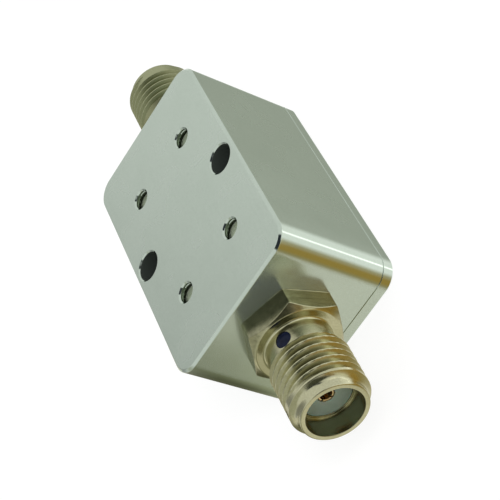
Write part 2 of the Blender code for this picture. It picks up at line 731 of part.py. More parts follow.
def make_components(chip_finish, wire_finish):
    """A series chip and coil at each end of the line, and the shunt coil with its chips between them."""
    coil_width = 2 * (COIL_RADIUS + COIL_WIRE_RADIUS)
    coil_length = COIL_PITCH * (COIL_WHOLE_TURNS + 0.5) + 2 * COIL_WIRE_RADIUS
    line = [CHIP_LENGTH, coil_width, coil_length, coil_width, CHIP_LENGTH]
    chip_1, coil_1, middle, coil_2, chip_2 = in_line(line, BODY_END - TAIL_END)
    board_waist = MOUNT_HOLES[0][1] - MOUNT_BOSS_RADIUS - BOARD_EDGE_GAP
    beside = (coil_width / 2 + board_waist) / 2

    chip = chip_mesh()
    places = {
        "series_capacitor_1": (chip_1, 0, SOLDER_SIDE),
        "series_capacitor_2": (chip_2, 0, SOLDER_SIDE),
        "shunt_capacitor_1": (middle, beside, SOLDER_SIDE),
        "shunt_capacitor_2": (middle, -beside, SOLDER_SIDE),
    }
    for name, place in places.items():
        add_piece(name, chip, chip_finish).location = place
    make_coil("series_coil_1", coil_1, math.pi / 2, wire_finish)
    make_coil("shunt_coil", middle, 0.0, wire_finish)
    make_coil("series_coil_2", coil_2, math.pi / 2, wire_finish)


def main():
    clear_scene()
    aluminium = make_material("satin_aluminium", (0.55, 0.60, 0.56), 0.35, 1.0)
    steel = make_material("screw_steel", (0.50, 0.52, 0.48), 0.3, 1.0)
    laminate = make_material("board_laminate", (0.10, 0.30, 0.16), 0.5, 0.0)
    copper = make_material("coil_copper", (0.72, 0.38, 0.22), 0.3, 1.0)
    ceramic = make_material("chip_ceramic", (0.55, 0.42, 0.30), 0.45, 0.0)
    jack_finishes = {
        "body": make_material("jack_nickel", (0.52, 0.52, 0.36), 0.22, 1.0),
        "insulator": make_material("insulator_white", (0.80, 0.82, 0.80), 0.4, 0.0),
        "contact": make_material("contact_gilt", (0.80, 0.55, 0.25), 0.25, 1.0),
        "epoxy": make_material("epoxy_dark", (0.02, 0.03, 0.07), 0.3, 0.0),
        "solder": make_material("solder_tin", (0.70, 0.70, 0.68), 0.35, 1.0),
    }
    make_housing(aluminium)
    make_cover(aluminium)
    make_screws(steel)
    make_jacks(jack_finishes)
    make_board(laminate)
    make_components(ceramic, copper)


main()
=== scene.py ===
# %% [markdown]
# # A coaxial bandpass filter
# The object is a small milled block, 24.6 mm long, with a threaded coaxial jack at each end. A thin cover
# closes its underside, and one face has four tapped holes and two through holes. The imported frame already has
# every piece at its size. This lesson replaces the pieces that show with finely curved ones, gives all of them
# a procedural finish, and lights them as in a small studio.

import math

import bmesh
import bpy
import numpy as np
from mathutils import Matrix, Vector


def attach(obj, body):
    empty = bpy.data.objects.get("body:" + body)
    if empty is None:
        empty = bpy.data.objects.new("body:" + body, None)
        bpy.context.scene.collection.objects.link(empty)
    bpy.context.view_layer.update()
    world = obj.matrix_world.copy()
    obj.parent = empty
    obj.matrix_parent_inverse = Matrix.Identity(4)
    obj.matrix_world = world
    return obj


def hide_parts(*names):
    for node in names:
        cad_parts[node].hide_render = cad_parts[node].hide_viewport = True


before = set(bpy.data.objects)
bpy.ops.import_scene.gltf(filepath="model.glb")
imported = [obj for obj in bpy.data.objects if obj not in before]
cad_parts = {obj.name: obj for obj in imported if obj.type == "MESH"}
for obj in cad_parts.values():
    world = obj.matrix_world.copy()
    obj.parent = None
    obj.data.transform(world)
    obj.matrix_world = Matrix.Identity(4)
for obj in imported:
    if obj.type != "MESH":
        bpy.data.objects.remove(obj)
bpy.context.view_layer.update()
scene = bpy.context.scene
MM = 0.001
print("nodes in the frame:", len(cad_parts))

# %% [markdown]
# ## The camera
# The photograph was taken from close by with a long lens, high over one corner of the block. Three
# perpendicular sets of edges give a picture's vanishing points, and these give the focal length and the
# camera's turn. The place follows from a least-squares fit to the corners and holes. The lens axis isn't in the
# middle of the picture, so a small shift does the framing.

# %% Set the camera
PICTURE_PIXELS = 500
FOCAL_PIXELS = 1598.437
LENS_AXIS_PIXELS = (235.613, 262.043)
SENSOR_WIDTH = 36.0
CAMERA_PLACE = (0.096301, 0.048989, 0.077726)
# Picture's right, picture's down and the line of sight, as rows
CAMERA_ROWS = np.array(
    [
        [0.3196484172616092, 0.5254571195024791, -0.788492044922652],
        [0.6027554193847582, -0.7548333768054416, -0.2586744627186813],
        [-0.731102450922203, -0.39258297062487507, -0.5580034206265192],
    ]
)

camera_data = bpy.data.cameras.new("camera")
camera_data.sensor_width = SENSOR_WIDTH
camera_data.lens = FOCAL_PIXELS / PICTURE_PIXELS * SENSOR_WIDTH
camera_data.shift_x = 0.5 - LENS_AXIS_PIXELS[0] / PICTURE_PIXELS
camera_data.shift_y = LENS_AXIS_PIXELS[1] / PICTURE_PIXELS - 0.5
camera_data.clip_start = 0.005
camera = bpy.data.objects.new("camera", camera_data)
scene.collection.objects.link(camera)
turn = np.eye(4)
turn[:3, :3] = (CAMERA_ROWS * np.array([[1], [-1], [-1]])).T
turn[:3, 3] = CAMERA_PLACE
camera.matrix_world = Matrix(turn.tolist())
scene.camera = camera
scene.view_settings.view_transform = "Standard"
print("lens", round(camera_data.lens, 2), "mm")

# %% [markdown]
# ## Surfaces from arrays
# Every new piece is a grid of points: one direction follows a profile, the other goes round. numpy works out
# the whole grid at once, and one helper turns grids into a mesh. Points that coincide are merged, so seams and
# poles close, and the faces then get normals that point out.

# %% Turn grids of points into a mesh
MERGE = 0.0001 * MM


def surface(name, *grids):
    """Mesh of grids of points, each (rows, columns, 3): a quad spans every pair of rows and columns."""
    points, quads, start = [], [], 0
    for grid in grids:
        rows, columns = grid.shape[:2]
        index = start + np.arange(rows * columns).reshape(rows, columns)
        corners = [index[:-1, :-1], index[:-1, 1:], index[1:, 1:], index[1:, :-1]]
        quads.append(np.stack(corners, axis=-1).reshape(-1, 4))
        points.append(grid.reshape(-1, 3))
        start += rows * columns
    points, quads = np.concatenate(points), np.concatenate(quads)
    mesh = bpy.data.meshes.new(name)
    mesh.vertices.add(len(points))
    mesh.vertices.foreach_set("co", points.astype(np.float32).ravel())
    mesh.loops.add(quads.size)
    mesh.loops.foreach_set("vertex_index", quads.astype(np.int32).ravel())
    mesh.polygons.add(len(quads))
    mesh.polygons.foreach_set("loop_start", np.arange(0, quads.size, 4, dtype=np.int32))
    mesh.update(calc_edges=True)
    bm = bmesh.new()
    bm.from_mesh(mesh)
    bmesh.ops.remove_doubles(bm, verts=bm.verts, dist=MERGE)
    bmesh.ops.recalc_face_normals(bm, faces=bm.faces)
    bm.to_mesh(mesh)
    bm.free()
    return mesh


def angles(count, first=0.0):
    """Angles in degrees once round the circle, the first one again at the end."""
    return first + 360.0 * np.arange(count + 1) / count


def about_z(radius, height, theta):
    """Points (r cos t, r sin t, z): radius and height are (rows,) or (rows, columns), theta in degrees."""
    radius, height = np.atleast_1d(radius), np.atleast_1d(height)
    if radius.ndim == 1:
        radius, height = radius[:, None], height[:, None]
    turn = np.radians(theta)[None, :]
    radius = radius + 0 * turn
    return np.stack([radius * np.cos(turn), radius * np.sin(turn), height + 0 * turn], axis=-1)


def moved(grid, x=0.0, y=0.0, z=0.0):
    """The grid, shifted."""
    return grid + np.array([x, y, z])


# %% [markdown]
# ## Edges that catch light
# No machined edge is perfectly sharp: a small rounding catches the light and draws the fine bright lines that
# make metal look real. A Bevel modifier could do it, but here the profile itself is softened, so each corner
# gets its own size and the flat parts stay flat up to it.

# %% Soften the corners of a profile
def softened(profile, sizes, steps=3):
    """Round a profile's corners.

    The profile is (points, 2) or (points, columns, 2). A corner P with size t is replaced by the parabola
    (1-s)^2 A + 2 s (1-s) P + s^2 B, where A and B lie t from P on the two sides. One more point beyond A and B
    keeps the shading of the sides straight. A side shorter than 3 t limits t.
    """
    profile = np.asarray(profile, float)
    if profile.ndim == 2:
        profile = profile[:, None, :]
    lines = []
    for number, size in enumerate(sizes):
        corner = profile[number]
        if size == 0:
            lines.append(corner[None])
            continue
        before, after = profile[number - 1] - corner, profile[(number + 1) % len(profile)] - corner
        length_before = np.linalg.norm(before, axis=-1, keepdims=True)
        length_after = np.linalg.norm(after, axis=-1, keepdims=True)
        reach = np.minimum(size, 0.33 * np.minimum(length_before, length_after))
        before, after = before / length_before, after / length_after
        start, end = corner + before * reach, corner + after * reach
        s = np.linspace(0, 1, steps + 1)[:, None, None]
        bend = (1 - s) ** 2 * start + 2 * s * (1 - s) * corner + s**2 * end
        lines += [(corner + before * reach * 1.4)[None], bend, (corner + after * reach * 1.4)[None]]
    return np.concatenate(lines)


# %% [markdown]
# ## Cutting holes
# A Boolean modifier cuts a hole just where a drill would. It is applied at once: the finished mesh is what the
# lesson keeps, and its sharp edges are marked afterwards, so the flat faces round a hole shade flat.

# %% Cut pieces and put them in the scene
def add_object(name, mesh):
    """Object of a mesh, linked to the scene."""
    made = bpy.data.objects.new(name, mesh)
    scene.collection.objects.link(made)
    return made


def carved(mesh, *tools):
    """The mesh without the volume of each tool."""
    blank = add_object("blank", mesh)
    cutters = [add_object("cutter", tool) for tool in tools]
    for cutter in cutters:
        modifier = blank.modifiers.new("cut", "BOOLEAN")
        modifier.operation, modifier.solver, modifier.object = "DIFFERENCE", "EXACT", cutter
    result = bpy.data.meshes.new_from_object(blank.evaluated_get(bpy.context.evaluated_depsgraph_get()))
    for gone in [blank, *cutters]:
        bpy.data.objects.remove(gone, do_unlink=True)
    return result


def finish_piece(name, mesh, material, slot, *nodes, sharp=35.0):
    """Object in its material that stands for CAD nodes and rides on the one body."""
    mesh.materials.clear()
    mesh.materials.append(material)
    mesh.polygons.foreach_set("material_index", np.zeros(len(mesh.polygons), np.int32))
    mesh.shade_smooth()
    mesh.set_sharp_from_angle(angle=math.radians(sharp))
    made = add_object(name, mesh)
    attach(made, "root")
    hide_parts(*nodes)
    print(name, len(mesh.polygons), "faces")
    return made


# %% [markdown]
# ## Node helpers
# The finishes below are node trees. A small helper adds one node with its settings, its plain values and its
# links, so a tree reads from top to bottom like a recipe. The others wrap the few nodes that every finish needs:
# calculations, ramps, and blends of numbers and colours.

# %% Add and fill nodes
def fill(tree, socket, value):
    """Link a socket to another one, or set a plain value on it."""
    if isinstance(value, bpy.types.NodeSocket):
        tree.links.new(value, socket)
    else:
        socket.default_value = value


def put(tree, kind, inputs=None, **settings):
    """Add a node. An input that is given a socket is linked to it, any other value is set on it."""
    made = tree.nodes.new(kind)
    for name, value in settings.items():
        setattr(made, name, value)
    for name, value in (inputs or {}).items():
        fill(tree, made.inputs[name], value)
    return made


def masked(tree, group, **inputs):
    """Place a node group in a material and return its mask."""
    made = tree.nodes.new("ShaderNodeGroup")
    made.node_tree = group
    for name, value in inputs.items():
        fill(tree, made.inputs[name], value)
    return made.outputs["Mask"]


def new_material(name, **plain):
    """Material with one Principled shader; plain values go on the shader's own sockets."""
    material = bpy.data.materials.new(name)
    material.use_nodes = True
    shader = material.node_tree.nodes["Principled BSDF"]
    feed(material.node_tree, shader, **plain)
    return material, material.node_tree, shader


def feed(tree, shader, **values):
    """Fill a shader's sockets. An underscore in a name stands for a space."""
    for label, value in values.items():
        fill(tree, shader.inputs[label.replace("_", " ")], value)


# %% Calculate with masks and colours
def calculated(tree, operation, *values):
    """A sum, product or other calculation with one or two numbers."""
    return put(tree, "ShaderNodeMath", dict(enumerate(values)), operation=operation).outputs[0]


def vector_of(tree, operation, *values):
    """Vector that a calculation with one or two vectors gives."""
    return put(tree, "ShaderNodeVectorMath", dict(enumerate(values)), operation=operation).outputs[0]


def number_of(tree, operation, *values):
    """Number that a length or a dot product of vectors gives."""
    return put(tree, "ShaderNodeVectorMath", dict(enumerate(values)), operation=operation).outputs["Value"]


def part_of(tree, vector, axis):
    """One of a vector's three parts."""
    return put(tree, "ShaderNodeSeparateXYZ", {0: vector}).outputs[axis]


def product(tree, *masks):
    """Mask that is 1 where all the masks are 1."""
    whole = masks[0]
    for mask in masks[1:]:
        whole = calculated(tree, "MULTIPLY", whole, mask)
    return whole


def ramp(tree, value, low, high, **settings):
    """Mask that goes from 0 to 1 as a value goes from low to high. A falling ramp has low above high."""
    limits = {"Value": value, "From Min": low, "From Max": high}
    return put(tree, "ShaderNodeMapRange", limits, **settings).outputs["Result"]


def window(tree, value, low, high, soft):
    """1 between low and high, 0 outside, with soft ramps: the product of a rising and a falling ramp."""
    return product(tree, ramp(tree, value, low - soft, low + soft), ramp(tree, value, high + soft, high - soft))


def scaled(tree, value, low, high):
    """A mask from 0 to 1, mapped to low .. high."""
    return put(tree, "ShaderNodeMapRange", {"Value": value, "To Min": low, "To Max": high}).outputs["Result"]


def mixed(tree, mask, first, second):
    """Number that goes from the first to the second as the mask goes from 0 to 1."""
    return put(tree, "ShaderNodeMix", {"Factor": mask, "A": first, "B": second}, data_type="FLOAT").outputs[0]


MIX_MASK, MIX_FIRST, MIX_SECOND, MIX_RESULT = 0, 6, 7, 2


def blended(tree, mask, first, second):
    """Colour that goes from the first to the second as the mask goes from 0 to 1."""
    made = put(tree, "ShaderNodeMix", data_type="RGBA")
    for number, value in ((MIX_MASK, mask), (MIX_FIRST, first), (MIX_SECOND, second)):
        fill(tree, made.inputs[number], (*value, 1.0) if isinstance(value, tuple) else value)
    return made.outputs[MIX_RESULT]


def layered(tree, tone, *layers):
    """Colour with layers over it, each a mask, the share it covers where the mask is 1, and its colour."""
    for mask, share, colour in layers:
        tone = blended(tree, scaled(tree, mask, 0.0, share), tone, colour)
    return tone


BUMP_HEIGHT = 0.02 * MM


def bumped(tree, height, strength):
    """Normal of a surface with a shallow relief."""
    inputs = {"Height": height, "Strength": strength, "Distance": BUMP_HEIGHT}
    return put(tree, "ShaderNodeBump", inputs).outputs["Normal"]


def coordinates(tree, kind="Object"):
    """The object's own coordinates, or its normals."""
    return put(tree, "ShaderNodeTexCoord").outputs[kind]


# %% [markdown]
# ## Effects that several finishes share
# Three groups cover the wear of this object. Clouding is the slow change of tone on handled metal. Grain is the
# fine speckle that a blasted or plated surface has. Streaks are tool marks: noise that is stretched far along
# one direction. Each puts out a mask from 0 to 1, and the material decides what the mask changes. The same effect
# could be drawn as a picture, but a group needs no picture and fits every piece.

# %% Clouding, grain and streaks
def new_group(name, label, kind, value):
    """Group with a Vector and one more input, which puts out a Mask: its tree, inputs and output node."""
    tree = bpy.data.node_groups.new(name, "ShaderNodeTree")
    tree.interface.new_socket("Vector", in_out="INPUT", socket_type="NodeSocketVector")
    tree.interface.new_socket(label, in_out="INPUT", socket_type=kind).default_value = value
    tree.interface.new_socket("Mask", in_out="OUTPUT", socket_type="NodeSocketFloat")
    return tree, tree.nodes.new("NodeGroupInput").outputs, tree.nodes.new("NodeGroupOutput")


def clouding_group():
    """Soft blotches: a noise whose middle part is stretched over 0 .. 1."""
    tree, given, out = new_group("clouding", "Size", "NodeSocketFloat", 400.0)
    inputs = {"Vector": given["Vector"], "Scale": given["Size"], "Detail": 3.0, "Roughness": 0.6}
    noise = put(tree, "ShaderNodeTexNoise", inputs)
    fill(tree, out.inputs["Mask"], ramp(tree, noise.outputs["Fac"], 0.32, 0.68))
    return tree


def grain_group():
    """Fine speckle: the distance to scattered points times a fine noise."""
    tree, given, out = new_group("grain", "Size", "NodeSocketFloat", 9000.0)
    cells = put(tree, "ShaderNodeTexVoronoi", {"Vector": given["Vector"], "Scale": given["Size"]})
    noise = put(tree, "ShaderNodeTexNoise", {"Vector": given["Vector"], "Scale": given["Size"], "Detail": 2.0})
    both = product(tree, cells.outputs["Distance"], noise.outputs["Fac"])
    fill(tree, out.inputs["Mask"], ramp(tree, both, 0.05, 0.45))
    return tree


def streak_group():
    """Tool marks: a noise whose vector is squeezed by Stretch, so that it changes along one axis only."""
    tree, given, out = new_group("streaks", "Stretch", "NodeSocketVector", (1.0, 1.0, 1.0))
    squeezed = vector_of(tree, "MULTIPLY", given["Vector"], given["Stretch"])
    inputs = {"Vector": squeezed, "Scale": 1.0, "Detail": 4.0, "Roughness": 0.65}
    noise = put(tree, "ShaderNodeTexNoise", inputs)
    fill(tree, out.inputs["Mask"], ramp(tree, noise.outputs["Fac"], 0.3, 0.7))
    return tree


clouding, grain, streaks = clouding_group(), grain_group(), streak_group()
print("shared effects:", ", ".join(group.name for group in (clouding, grain, streaks)))

# %% [markdown]
# ## Masks of the block
# The finish has to know where on the block it is. The direction that a wall faces tells which cut made it, and its
# place tells whether it lies in a hole; the hole masks place painted shade on the hole walls. Both come from the
# object's own coordinates, so no picture is needed. The holes lie symmetrically about the block's middle, so absolute
# values fold them into one.

# %% Masks of walls and holes
BOARD_HOLE, TAPPED_WALL, TAPPED_DARK = (6.25 * MM, 3.25 * MM), 1.05 * MM, 10.93 * MM
FIRST_TURN = (11.15 * MM, 11.04 * MM)
MOUNT_HOLE, DRILLED_WALL, DRILLED_DARK = (0.0, 5.55 * MM), 1.24 * MM, 11.19 * MM
BELOW_ALL = -1.0 * MM


def steepness(tree, facing, axis, low, high):
    """Mask that goes from 0 to 1 as the normal's part along an axis, either way, goes from low to high."""
    return ramp(tree, calculated(tree, "ABSOLUTE", part_of(tree, facing, axis)), low, high)


def inside_hole(tree, place, centre, radius, top):
    """Mask of the walls below a height of the holes at (+-x, +-y)."""
    off = vector_of(tree, "SUBTRACT", vector_of(tree, "ABSOLUTE", place), (*centre, 0.0))
    distance = number_of(tree, "LENGTH", vector_of(tree, "MULTIPLY", off, (1.0, 1.0, 0.0)))
    near = window(tree, distance, BELOW_ALL, radius + 0.02 * MM, 0.01 * MM)
    return product(tree, near, window(tree, part_of(tree, place, "Z"), BELOW_ALL, top, 0.02 * MM))


# %% [markdown]
# ## Satin aluminium
# The block is milled aluminium with a thin greenish-grey conversion finish: satin on its large faces, and
# brighter on its ends and brightest on its rounded corners, where a sharp cutter went round. The broken edges are
# smooth, and the drilled walls are rough. It has slow clouding, a fine grain and faint milling lines along its
# length.
# The colour is that of the metal, and masks add painted shade in the holes: dark in the tapped holes below a height
# and along their first turn, and dark on the drilled walls with a lighter, lit side.

# %% Finish of the housing and the cover
SATIN_LOW, SATIN_HIGH = (0.555, 0.635, 0.555), (0.595, 0.675, 0.595)
# The hole tones are painted shade: a dark tone for the threads, and a dark and a lighter, lit tone for the drilled
# walls.
SPECK_TONE, MILLING_TONE, THREAD_SHADE = (0.50, 0.57, 0.50), (0.66, 0.73, 0.65), (0.10, 0.11, 0.075)
WALL_SHADE, WALL_LIT = (0.032, 0.042, 0.038), (0.10, 0.14, 0.10)


def satin_aluminium():
    """Two greys in slow clouds under speckle, milling lines and painted shade on the hole walls; smoother on bright
    cuts.
    """
    material, tree, shader = new_material("satin_aluminium")
    place, facing = coordinates(tree), coordinates(tree, "Normal")
    clouds = masked(tree, clouding, Vector=place, Size=170.0)
    speckle = masked(tree, grain, Vector=place, Size=5200.0)
    milling = masked(tree, streaks, Vector=place, Stretch=(350.0, 9000.0, 9000.0))
    wall, end = steepness(tree, facing, "Z", 0.75, 0.5), steepness(tree, facing, "X", 0.03, 0.2)
    flat_end = steepness(tree, facing, "X", 0.985, 1.0)
    chamfer = window(tree, steepness(tree, facing, "Z", 0.0, 1.0), 0.6, 0.82, 0.05)
    tapped = inside_hole(tree, place, BOARD_HOLE, TAPPED_WALL, TAPPED_DARK)
    turns = [inside_hole(tree, place, BOARD_HOLE, TAPPED_WALL, top) for top in FIRST_TURN]
    drilled_wall = inside_hole(tree, place, MOUNT_HOLE, DRILLED_WALL, DRILLED_DARK)
    lit = ramp(tree, part_of(tree, place, "X"), 0.1 * MM, 1.1 * MM)
    # The last three layers are painted shade: the tapped holes below a height and along their first turn, and the
    # drilled walls, lighter on their lit side.
    tone = layered(
        tree,
        blended(tree, clouds, SATIN_LOW, SATIN_HIGH),
        (speckle, 0.3, SPECK_TONE),
        (milling, 0.15, MILLING_TONE),
        (tapped, 0.8, THREAD_SHADE),
        (calculated(tree, "SUBTRACT", *turns), 0.75, THREAD_SHADE),
        (drilled_wall, 0.9, blended(tree, lit, WALL_SHADE, WALL_LIT)),
    )
    satin, gloss = scaled(tree, clouds, 0.24, 0.29), scaled(tree, flat_end, 0.12, 0.19)
    rough = mixed(tree, product(tree, end, wall), satin, gloss)
    dull = [scaled(tree, flat_end, 0.0, 0.2), scaled(tree, drilled_wall, 0.0, 0.7)]
    feed(
        tree,
        shader,
        Base_Color=tone,
        Roughness=mixed(tree, chamfer, rough, 0.08),
        Metallic=scaled(tree, calculated(tree, "MAXIMUM", *dull), 1.0, 0.0),
        Normal=bumped(tree, speckle, 0.004),
    )
    return material


def described(material):
    """The material, after a line on what it consists of."""
    print(material.name, "has", len(material.node_tree.nodes), "nodes")
    return material


aluminium = described(satin_aluminium())

# %% [markdown]
# ## The block's outline
# The block is a rounded rectangle drawn upwards. Its profile is given as how far each height lies inside the
# outline, so the same few numbers make the broken edges of the housing and of the cover.

# %% Rounded block
BODY_END, BODY_SIDE, BODY_TOP = 12.3 * MM, 7.3 * MM, 11.3 * MM
CORNER_RADIUS = 1.8 * MM
EDGE_BREAK, PARTING_BREAK = 0.2 * MM, 0.04 * MM
COVER_TOP, HOUSING_BOTTOM = 1.115 * MM, 1.135 * MM
CAP_INSET = 1.0 * MM


def rounded_outline(half_length, half_width, corner, inset, steps=20):
    """Rounded rectangle moved in by inset, which is (rows,): each corner's arc keeps its centre, and
    its radius is the corner's less the inset. A point just before and after each arc keeps the sides flat."""
    arc = np.concatenate([[0.0], np.linspace(0, 90, steps + 1), [90.0]])
    turns = np.radians((arc[None, :] + 90.0 * np.arange(4)[:, None]).ravel())
    right = np.repeat([1, -1, -1, 1], len(arc)) * (half_length - corner)
    up = np.repeat([1, 1, -1, -1], len(arc)) * (half_width - corner)
    radius = (corner - np.atleast_1d(inset))[:, None]
    x, y = right + radius * np.cos(turns), up + radius * np.sin(turns)
    beside = 0.06 * MM
    slide = np.zeros(len(turns))
    slide[:: len(arc)], slide[len(arc) - 1 :: len(arc)] = -beside, beside
    x, y = x - slide * np.sin(turns), y + slide * np.cos(turns)
    outline = np.stack([x, y], axis=-1)
    return np.concatenate([outline, outline[:, :1]], axis=1)


def rounded_block(name, half_length, half_width, corner, profile):
    """Closed block: rows follow (inset, height) of the profile, and its first and last row shrink to points."""
    profile = np.asarray(profile, float)
    rim = rounded_outline(half_length, half_width, corner, profile[:, 0])
    heights = np.broadcast_to(profile[:, 1][:, None, None], rim.shape[:2] + (1,))
    sides = np.concatenate([rim, heights], axis=-1)
    caps = [np.stack([row * [0, 0, 1], row]) for row in (sides[0], sides[-1])]
    return surface(name, caps[0], sides, caps[1][::-1])


def block_profile(low, high, low_break, high_break, soft=0.03 * MM):
    """(inset, height) rows of a block whose two faces have broken and slightly softened edges."""
    corners = [
        (CAP_INSET, low),
        (low_break, low),
        (0.0, low + low_break),
        (0.0, high - high_break),
        (high_break, high),
        (CAP_INSET, high),
    ]
    return softened(corners, [0, soft, soft, soft, soft, 0])[:, 0]


housing_blank = rounded_block(
    "housing", BODY_END, BODY_SIDE, CORNER_RADIUS, block_profile(HOUSING_BOTTOM, BODY_TOP, PARTING_BREAK, EDGE_BREAK)
)
cover_blank = rounded_block(
    "cover", BODY_END, BODY_SIDE, CORNER_RADIUS, block_profile(0.0, COVER_TOP, EDGE_BREAK, PARTING_BREAK)
)
print("housing blank", len(housing_blank.polygons), "faces")

# %% [markdown]
# ## Tapped holes
# A tap leaves a helical groove in the wall of its drill hole. The cutter for it is a cylinder whose radius grows
# inside the groove: the radius is a function of height and angle, and the groove climbs one pitch a turn. It fades
# in just below the face, as in the picture, where the hole's outline is a clean circle. The screws' own threads
# use the same function with the same start, so the two run into each other as real ones do.

# %% Helical threads
THREAD_SLOPE = 1.0 / math.tan(math.radians(30))


def groove(along, theta, pitch, start, crest, depth):
    """Depth of a 60 degree helical groove. The groove's middle lies at start + pitch * theta / 360; its walls
    slope from full depth to the surface, and between two grooves a flat crest remains."""
    turns = (along - start) / pitch - theta / 360.0
    distance = np.abs(turns - np.round(turns)) * pitch
    return np.clip(((pitch - crest) / 2 - distance) * THREAD_SLOPE, 0.0, depth)


def closed_ends(wall):
    """A tube of rows with a row of one point added at each end, which closes it."""
    axis = [np.mean(row[:-1], axis=0) * np.ones_like(row) for row in (wall[0], wall[-1])]
    return np.concatenate([axis[0][None], wall, axis[1][None]])


M2_PITCH, M2_DRILL, M2_DEPTH, M2_CREST = 0.4 * MM, 0.8 * MM, 0.2 * MM, 0.1 * MM
M2_START, M2_STEP = 0.1 * MM, 0.025 * MM
TAP_BREAK, TAP_FADE, TAP_FADE_LENGTH = 0.12 * MM, 0.26 * MM, 0.08 * MM
DECK_UNDERSIDE, PAST = 7.5 * MM, 0.5 * MM
BOARD_SCREWS = [(x * MM, y * MM) for x, y in ((6.25, 3.25), (6.25, -3.25), (-6.25, 3.25), (-6.25, -3.25))]


def tapped_hole():
    """Cutter for one M2 hole: drill radius plus the groove, or the countersink's cone where that is wider."""
    theta = angles(60)
    z = np.arange(DECK_UNDERSIDE - PAST, BODY_TOP + PAST, M2_STEP)[:, None]
    fade = np.clip((BODY_TOP - TAP_FADE - z) / TAP_FADE_LENGTH, 0.0, 1.0)
    thread = M2_DRILL + fade * groove(z, theta[None, :], M2_PITCH, M2_START, M2_CREST, M2_DEPTH)
    sink = M2_DRILL + (z - (BODY_TOP - TAP_BREAK))
    return closed_ends(about_z(np.maximum(thread, sink), z + 0 * thread, theta))


hole = tapped_hole()
board_screw_holes = surface("board_screw_holes", *[moved(hole, x, y) for x, y in BOARD_SCREWS])
print("tapped holes", len(board_screw_holes.polygons), "faces")

# %% [markdown]
# ## Through holes
# A drilled hole with broken edges is a profile turned about its axis: a cone, a straight wall and a cone. The
# cones run on past the faces, so the cut leaves no skin.

# %% Drilled holes
MOUNT_HOLES = [(0.0, 5.55 * MM), (0.0, -5.55 * MM)]
THROUGH_RADIUS, HOLE_BREAK = 1.225 * MM, 0.1 * MM


def drilled(profile, count=64):
    """Closed tool from (radius, height) points on its side, both ends flat."""
    radius, height = np.array(profile).T
    return closed_ends(about_z(radius, height, angles(count)))


through = drilled(
    [
        (THROUGH_RADIUS + HOLE_BREAK + PAST, -PAST),
        (THROUGH_RADIUS, HOLE_BREAK),
        (THROUGH_RADIUS, BODY_TOP - HOLE_BREAK),
        (THROUGH_RADIUS + HOLE_BREAK + PAST, BODY_TOP + PAST),
    ]
)
mount_holes = [surface("mount_holes", *[moved(through, x, y) for x, y in MOUNT_HOLES]) for _ in range(2)]
print("through holes", len(mount_holes[0].polygons), "faces")

# %% [markdown]
# ## Inside the housing
# The cover hides the pocket, but a section through the part should still be right. The pocket is a rounded block
# too, less the bosses round the through holes and the posts for the cover's screws.

# %% Pocket, posts and bores
POCKET_END, POCKET_SIDE, POCKET_CORNER = 9.7 * MM, 5.9 * MM, 1.5 * MM
BOSS_RADIUS, POST_RADIUS, STEM_BORE_RADIUS, END_WALL_CUT = 2.325 * MM, 1.525 * MM, 3.225 * MM, 0.4 * MM
COVER_TAP_RADIUS, COVER_TAP_SINK, COVER_TAP_DEPTH, COVER_TAP_POINT = 0.625 * MM, 0.2 * MM, 4.65 * MM, 5.0 * MM
DRILL_POINT_RADIUS = 0.05 * MM
COVER_SCREWS = [(x * MM, y * MM) for x, y in ((10.5, 5.5), (10.5, -5.5), (-10.5, 5.5), (-10.5, -5.5))]
JACK_AXIS_Z = 5.88 * MM


def pillars(name, radius, low, high, points):
    """One upright cylinder at each (x, y) point."""
    pillar = drilled([(radius, low), (radius, high)])
    return surface(name, *[moved(pillar, x, y) for x, y in points])


def pocket_tool():
    """The pocket's volume from below the parting face up to the deck."""
    low, high = HOUSING_BOTTOM - PAST, DECK_UNDERSIDE
    block = rounded_block("pocket", POCKET_END, POCKET_SIDE, POCKET_CORNER, [(0.0, low), (0.0, high)])
    bosses = pillars("bosses", BOSS_RADIUS, low - PAST, high + PAST, MOUNT_HOLES)
    posts = pillars("posts", POST_RADIUS, low - PAST, high + PAST, COVER_SCREWS)
    return carved(block, bosses, posts)


def cover_screw_holes():
    """Blind tap drills for the cover screws, with a sunk mouth and a drill point."""
    tool = drilled(
        [
            (COVER_TAP_RADIUS + COVER_TAP_SINK + PAST, HOUSING_BOTTOM - PAST),
            (COVER_TAP_RADIUS, HOUSING_BOTTOM + COVER_TAP_SINK),
            (COVER_TAP_RADIUS, COVER_TAP_DEPTH),
            (DRILL_POINT_RADIUS, COVER_TAP_POINT),
        ],
        count=40,
    )
    return surface("cover_screw_holes", *[moved(tool, x, y) for x, y in COVER_SCREWS])


def stem_bore(end):
    """Bore for a jack's stem through the end wall at +X or -X."""
    tube = drilled(
        [(STEM_BORE_RADIUS, POCKET_END - END_WALL_CUT), (STEM_BORE_RADIUS, BODY_END + PAST)], count=96
    )
    lying = np.stack([end * tube[..., 2], tube[..., 0], JACK_AXIS_Z + tube[..., 1]], axis=-1)
    return surface("stem_bore", lying)


housing_tools = [
    pocket_tool(),
    mount_holes[0],
    board_screw_holes,
    cover_screw_holes(),
    stem_bore(1),
    stem_bore(-1),
]
housing_mesh = carved(housing_blank, *housing_tools)
finish_piece("housing_milled", housing_mesh, aluminium, "satin_aluminium", "housing")

# %% [markdown]
# ## The cover
# The cover is a plate with four countersinks on its outer side and the two through holes. Both blocks have a
# slightly broken edge where they meet, and a hair of space between them, which together draw the dark parting
# line that runs round the object.

